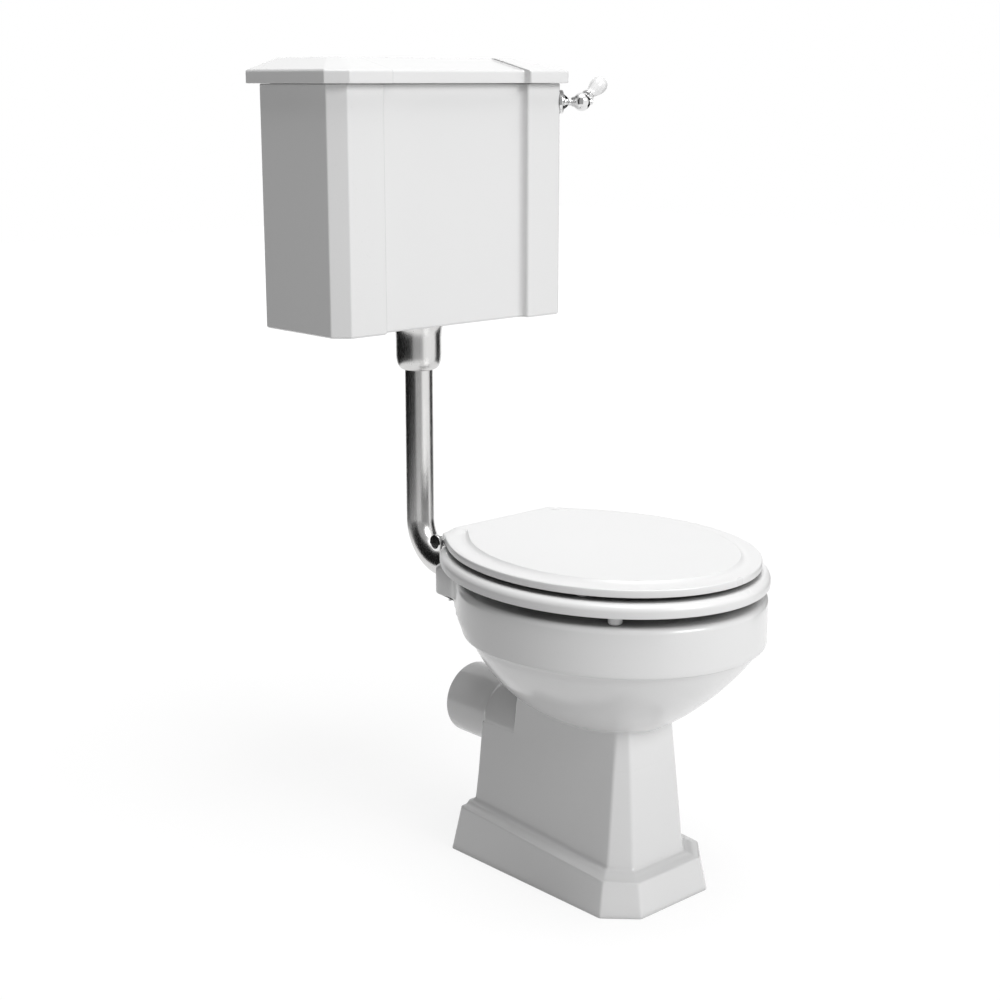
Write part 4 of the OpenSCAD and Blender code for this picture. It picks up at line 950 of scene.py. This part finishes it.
class WC_OT_finishes(bpy.types.Operator):
    """Makes the two node groups and every finish"""
    bl_idname = "wc.finishes"
    bl_label = "Make finishes"

    def execute(self, context):
        f = context.scene.wc_finishes
        group = build_pooled_finish()
        keys = ("Tint A", "Tint B", "Wave Scale", "Ripple Scale", "Ripple Share", "Rough Low", "Rough High",
                "Speck Scale")
        # the deep column is how far the painted shade in gaps reaches: 3 cm for the glazed china and the moulded seat,
        # none for the rest
        for name, values, bump, distance, deep, constants in (
                ("Glazed china", (tint(f.glaze), tint(f.glaze, 0.965), 11.0, 170.0, 0.12, f.glaze_rough,
                                  f.glaze_rough + 0.1, 330.0), 0.12, 0.0012, 0.03,
                 {"Coat Weight": 0.25, "Coat Roughness": 0.12, "IOR": 1.5}),
                ("Moulded gloss", (tint(f.seat), tint(f.seat, 0.99), 7.0, 420.0, 0.08, 0.26, 0.34, 600.0),
                 0.02, 0.0006, 0.03, {"IOR": 1.48}),
                ("Handle porcelain", (tint(f.glaze, 1.04), tint(f.glaze, 0.99), 45.0, 600.0, 0.1, 0.08, 0.14, 900.0),
                 0.08, 0.0003, 0.0, {"Coat Weight": 0.5, "Coat Roughness": 0.05, "IOR": 1.52}),
                ("Buffer plastic", ((.74, .74, .74, 1), (.70, .70, .70, 1), 60.0, 1500.0, 0.3, 0.36, 0.48, 1200.0),
                 0.1, 0.0002, 0.0, {"IOR": 1.45}),
                ("Fitting plastic", ((.66, .66, .65, 1), (.60, .60, .59, 1), 30.0, 1300.0, 0.4, 0.38, 0.52, 900.0),
                 0.12, 0.0003, 0.0, {"IOR": 1.46}),
                ("Black rubber", ((.035, .035, .036, 1), (.06, .06, .06, 1), 50.0, 2200.0, 0.8, 0.6, 0.8, 1500.0),
                 0.3, 0.0003, 0.0, {"IOR": 1.5})):
            finish(name, group, dict(zip(keys, values)), bump, distance, deep, constants)
        group = build_drawn_metal()
        keys = ("Bright", "Dull", "Stretch", "Streak Scale", "Rough Low", "Rough High")
        for name, values, bump, distance in (
                ("Satin pipe metal", (tint(f.steel), tint(f.steel, 0.93), (1.0, 1.0, 0.012), 900.0,
                                      f.steel_rough - 0.02, f.steel_rough + 0.02), 0.008, 0.0002),
                ("Bright chrome", ((.80, .80, .80, 1), (.76, .76, .76, 1), (1.0, 1.0, 1.0), 500.0, 0.05, 0.10),
                 0.02, 0.0001),
                ("Turned brass", ((.72, .52, .25, 1), (.50, .34, .15, 1), (0.05, 1.0, 1.0), 700.0, 0.24, 0.40),
                 0.06, 0.0002)):
            finish(name, group, dict(zip(keys, values)), bump, distance, 0.0, {"Metallic": 1.0})
        return {"FINISHED"}


class WC_OT_pan(bpy.types.Operator):
    """Makes the pan: foot, pedestal, bowl, rim and deck, with the outlet and the inlet horn"""
    bl_idname = "wc.pan"
    bl_label = "Make pan"

    def execute(self, context):
        r = context.scene.wc_roundings
        rings = pan_rings(r.foot_edge * 1000, r.rim_edge * 1000)
        pan = make("pan", [shell(rings)], "Glazed china", "base", "pan_bowl")
        x, z = round_polygon([[-56, -20], [56, -20], [56, 103], [-56, 103]], [1, 1, 16, 16], 6, 1).T
        arch = [np.column_stack([x, np.full(len(x), y), z]) for y in (108.0, 180.0)]
        cut_away(pan, [shell(arch, "flat", "flat")])
        make("pan", pan_outlet_shells(), "Glazed china", "base", "pan_outlet")
        make("pan", pan_horn_shells(), "Glazed china", "base", "pan_horn")
        return {"FINISHED"}


class WC_OT_cistern(bpy.types.Operator):
    """Makes the cistern and its lid"""
    bl_idname = "wc.cistern"
    bl_label = "Make cistern and lid"

    def execute(self, context):
        r = context.scene.wc_roundings
        body, lid = tank_rings(r.tank_edge * 1000), lid_rings(r.lid_edge * 1000)
        tank = make("tank_body", [shell(body, "flat", "flat")], "Glazed china", "base", "cistern_body", flats=True)
        screw_hole = [[0, 424], [4, 424], [4, 442], [0, 442]]
        cut_away(tank, [turned(screw_hole, axis("back", x, 0, 974.0), 32) for x in (-150, 150)])
        make("tank_lid", [shell(lid, "flat", "flat")], "Glazed china", "tank_cover", "cistern_lid", flats=True)
        return {"FINISHED"}


class WC_OT_seat(bpy.types.Operator):
    """Makes the seat ring, its lid and their buffers"""
    bl_idname = "wc.seat"
    bl_label = "Make seat"

    def execute(self, context):
        r = context.scene.wc_roundings
        rings = seat_lid_rings(r.seat_border * 1000, r.seat_rise * 1000)
        make("seat_ring", [shell(ring_rings(), loop=True)], "Moulded gloss", "ring")
        make("seat_lid", [shell(rings, "flat", "flat")], "Moulded gloss", "cover")
        pads = buffer_shells(((125, -168), (150, 40)), RIM_TOP + 0.3, RING_LOW, 8.75, 2.0)
        make("ring_buffers", pads, "Buffer plastic", "ring")
        pads = buffer_shells(((140, -128), (140, 50)), RING_LOW + RING_T + 0.3, LID_LOW, 7.25, 1.0)
        make("lid_buffers", pads, "Buffer plastic", "cover")
        return {"FINISHED"}


class WC_OT_hinge(bpy.types.Operator):
    """Makes the chrome hinge: posts, bar with its end caps, and the knuckles of ring and lid"""
    bl_idname = "wc.hinge"
    bl_label = "Make seat hinge"

    def execute(self, context):
        make("hinge_posts", post_shells(), "Bright chrome", "base")
        make("hinge_bar", bar_shells(), "Bright chrome", "ring")
        make("ring_knuckles", knuckle_shells(88.0, 104.0, 417.0, 4.0, 50.0), "Bright chrome", "ring")
        make("lid_knuckles", knuckle_shells(44.5, 62.5, 440.4, 3.6, 42.0), "Bright chrome", "cover")
        return {"FINISHED"}


class WC_OT_flush_pipe(bpy.types.Operator):
    """Makes the bent flush pipe and the turned cover under the cistern"""
    bl_idname = "wc.flush_pipe"
    bl_label = "Make flush pipe"

    def execute(self, context):
        cover = turned(smooth_profile(COVER_PROFILE, 2), axis("up", 0, PIPE_Y, 642.0), loop=True)
        make("flush_pipe", [shell(pipe_rings(), loop=True)], "Satin pipe metal", "base")
        make("pipe_cover", [cover], "Satin pipe metal", "base")
        return {"FINISHED"}


class WC_OT_lever(bpy.types.Operator):
    """Makes the cistern lever: flange, spindle with its ball, collar and porcelain handle"""
    bl_idname = "wc.lever"
    bl_label = "Make lever"

    def execute(self, context):
        flange, spindle, collar, grip = lever_profiles()
        make("lever_flange", [turned(flange, lever_frame(), loop=True)], "Bright chrome", "base")
        make("lever_spindle", [turned(spindle, lever_frame())], "Bright chrome", "lever")
        make("lever_collar", [turned(collar, handle_frame())], "Bright chrome", "lever")
        make("lever_handle", [turned(grip, handle_frame())], "Handle porcelain", "lever")
        return {"FINISHED"}


class WC_OT_fittings(bpy.types.Operator):
    """Gives the fittings inside the cistern and under the deck their finishes"""
    bl_idname = "wc.fittings"
    bl_label = "Finish the fittings"

    def execute(self, context):
        for finish_name, nodes in (
                ("Black rubber", ("flush_cone", "siphon_washer", "lever_washer", "valve_washer", "post_washers")),
                ("Fitting plastic", ("pipe_nut", "siphon_backnut", "siphon_body", "siphon_plate", "valve_body",
                                     "valve_backnut", "float_ball")),
                ("Turned brass", ("lift_rod", "crank_arm", "valve_piston", "float_arm")),
                ("Bright chrome", ("lever_nut", "post_nuts"))):
            for node in nodes:
                dress(node, finish_name)
        return {"FINISHED"}


def stage_piece(name, points, faces, material, hidden=()):
    """Mesh of the stage, which the named kinds of ray don't see."""
    mesh = bpy.data.meshes.new(name)
    mesh.from_pydata(points, [], faces)
    mesh.materials.append(material)
    obj = bpy.data.objects.new(name, mesh)
    bpy.context.scene.collection.objects.link(obj)
    for ray in hidden:
        setattr(obj, "visible_" + ray, False)


def wall(name, start, end, grey, radius=1.6, high=3.0, columns=25):
    """Upright part of a cylinder round the object, seen only in reflections: corners at radius (cos a, sin a)
    between two azimuths in degrees, from the floor up."""
    material, tree, shader = new_material(name)
    feed(tree, shader, {"Base Color": (0, 0, 0, 1), "Specular IOR Level": 0.0, "Emission Color": WHITE,
                        "Emission Strength": grey})
    a = np.radians(np.linspace(start, end, columns))
    foot = np.column_stack([radius * np.cos(a), radius * np.sin(a), np.full(columns, 0.001)])
    i = np.arange(columns - 1)
    faces = np.column_stack([i, i + 1, i + columns + 1, i + columns]).tolist()
    stage_piece(name, np.concatenate([foot, foot + np.array([0, 0, high])]), faces, material,
                ("camera", "diffuse", "transmission", "volume_scatter", "shadow"))


def seen_white(tree):
    """Share of 1 where a camera, glossy or transmission ray meets the surface: the larger of the three."""
    rays = add(tree, "LightPath").outputs
    mirror = combine(tree, "MAXIMUM", rays["Is Camera Ray"], rays["Is Glossy Ray"])
    return combine(tree, "MAXIMUM", mirror, rays["Is Transmission Ray"])


def mix_shaders(tree, share, a, b, last):
    """Two shaders mixed into the tree's last node."""
    mix = add(tree, "MixShader", {"Fac": share, 1: a.outputs[0], 2: b.outputs[0]})
    feed(tree, tree.nodes[last], {"Surface": mix.outputs[0]})


class WC_OT_stage(bpy.types.Operator):
    """Makes the floor, the white surroundings, the lamps, the walls that the gloss reflects, and the camera"""
    bl_idname = "wc.stage"
    bl_label = "Make stage and camera"

    def execute(self, context):
        s, scene = context.scene.wc_studio, context.scene
        scene.world = bpy.data.worlds.new("White room")
        scene.world.use_nodes = True
        tree = scene.world.node_tree
        even = tree.nodes["Background"]
        feed(tree, even, {"Color": WHITE, "Strength": s.room})
        white = add(tree, "Background", {"Color": WHITE, "Strength": 1.0})
        mix_shaders(tree, seen_white(tree), even, white, "World Output")

        # The floor is darker to diffuse rays round a point to the left, painted shade that lets less light bounce onto
        # the object's lower left; it turns white with the distance
        floor, tree, shader = new_material("Pale floor")
        where = add(tree, "TexCoord").outputs["Object"]
        aside = add(tree, "VectorMath", {0: where, 1: (-0.75, 0.15, 0.0)}, operation="DISTANCE").outputs["Value"]
        # painted shade: for diffuse rays only, the floor colour is scaled down to 0.35 near the point
        bounce_shade_colour = scaled(tree, tint(s.floor)[:3], spread(tree, aside, 0.35, 1.0, 0.35, 0.75))
        diffuse = add(tree, "LightPath").outputs["Is Diffuse Ray"]
        feed(tree, shader, {"Roughness": 0.9, "Specular IOR Level": 0.0,
                            "Base Color": blend(tree, diffuse, tint(s.floor), bounce_shade_colour)})
        far = add(tree, "VectorMath", {0: where}, operation="LENGTH").outputs["Value"]
        share = combine(tree, "MULTIPLY", spread(tree, far, 0.8, 1.0, 0.8, 2.0), seen_white(tree))
        glow = add(tree, "Emission", {"Color": WHITE, "Strength": 1.07})
        mix_shaders(tree, share, shader, glow, "Material Output")
        side, z = 9, CAD_BOX[0][2] - 0.0004
        stage_piece("Floor", [(-side, -side, z), (side, -side, z), (side, side, z), (-side, side, z)],
                    [[0, 1, 2, 3]], floor)

        wall("Dark wall behind", 85, 193, 0.01)
        wall("Dark wall right", -30, 15, 0.01)
        wall("Grey wall left", 193, 250, 0.4)

        middle, distance = np.array([0.0, 0.0, 0.55]), 8.0
        for name, power, size, way in (("Front softbox", s.front, 3.0, (0.05, -0.847, 0.53)),
                                       ("Overhead softbox", s.overhead, 4.5, (0.0, -0.1, 1.0))):
            lamp = bpy.data.lights.new(name, "AREA")
            lamp.energy, lamp.size = power, size
            obj = bpy.data.objects.new(name, lamp)
            scene.collection.objects.link(obj)
            way = np.array(way) / np.linalg.norm(way)
            obj.location = middle + distance * way
            obj.rotation_euler = (math.atan2(math.hypot(way[0], way[1]), way[2]), 0, math.atan2(way[0], -way[1]))

        camera = bpy.data.cameras.new("Photograph's view")
        camera.lens, camera.sensor_width = 63.0, 36.0
        cam = bpy.data.objects.new("Photograph's view", camera)
        cam.location = (-1.5766, -1.6696, 1.040)
        cam.rotation_euler = (math.radians(76.52), 0, math.radians(-42.5))
        scene.collection.objects.link(cam)
        scene.camera = cam
        scene.view_settings.view_transform = "Standard"
        return {"FINISHED"}


class WC_PT_panel(bpy.types.Panel):
    """Lists the pieces in the order in which they are made"""
    bl_idname = "WC_PT_panel"
    bl_label = "Low-level WC"
    bl_space_type = "VIEW_3D"
    bl_region_type = "UI"
    bl_category = "WC"

    def draw(self, context):
        for group in (context.scene.wc_finishes, context.scene.wc_roundings, context.scene.wc_studio):
            box = self.layout.box()
            for key in group.bl_rna.properties.keys():
                if key not in ("rna_type", "name"):
                    box.prop(group, key)
        for operator in OPERATORS:
            self.layout.operator(operator.bl_idname)


GROUPS = (("wc_finishes", WCFinishes), ("wc_roundings", WCRoundings), ("wc_studio", WCStudio))
OPERATORS = (WC_OT_finishes, WC_OT_pan, WC_OT_cistern, WC_OT_seat, WC_OT_hinge, WC_OT_flush_pipe, WC_OT_lever,
             WC_OT_fittings, WC_OT_stage)


def register():
    for name, group in GROUPS:
        bpy.utils.register_class(group)
        setattr(bpy.types.Scene, name, bpy.props.PointerProperty(type=group))
    for kind in OPERATORS + (WC_PT_panel,):
        bpy.utils.register_class(kind)


def unregister():
    for kind in reversed(OPERATORS + (WC_PT_panel,)):
        bpy.utils.unregister_class(kind)
    for name, group in reversed(GROUPS):
        delattr(bpy.types.Scene, name)
        bpy.utils.unregister_class(group)


def main():
    register()
    bpy.ops.wc.finishes()
    bpy.ops.wc.pan()
    bpy.ops.wc.cistern()
    bpy.ops.wc.seat()
    bpy.ops.wc.hinge()
    bpy.ops.wc.flush_pipe()
    bpy.ops.wc.lever()
    bpy.ops.wc.fittings()
    bpy.ops.wc.stage()


if __name__ == "__main__":
    main()
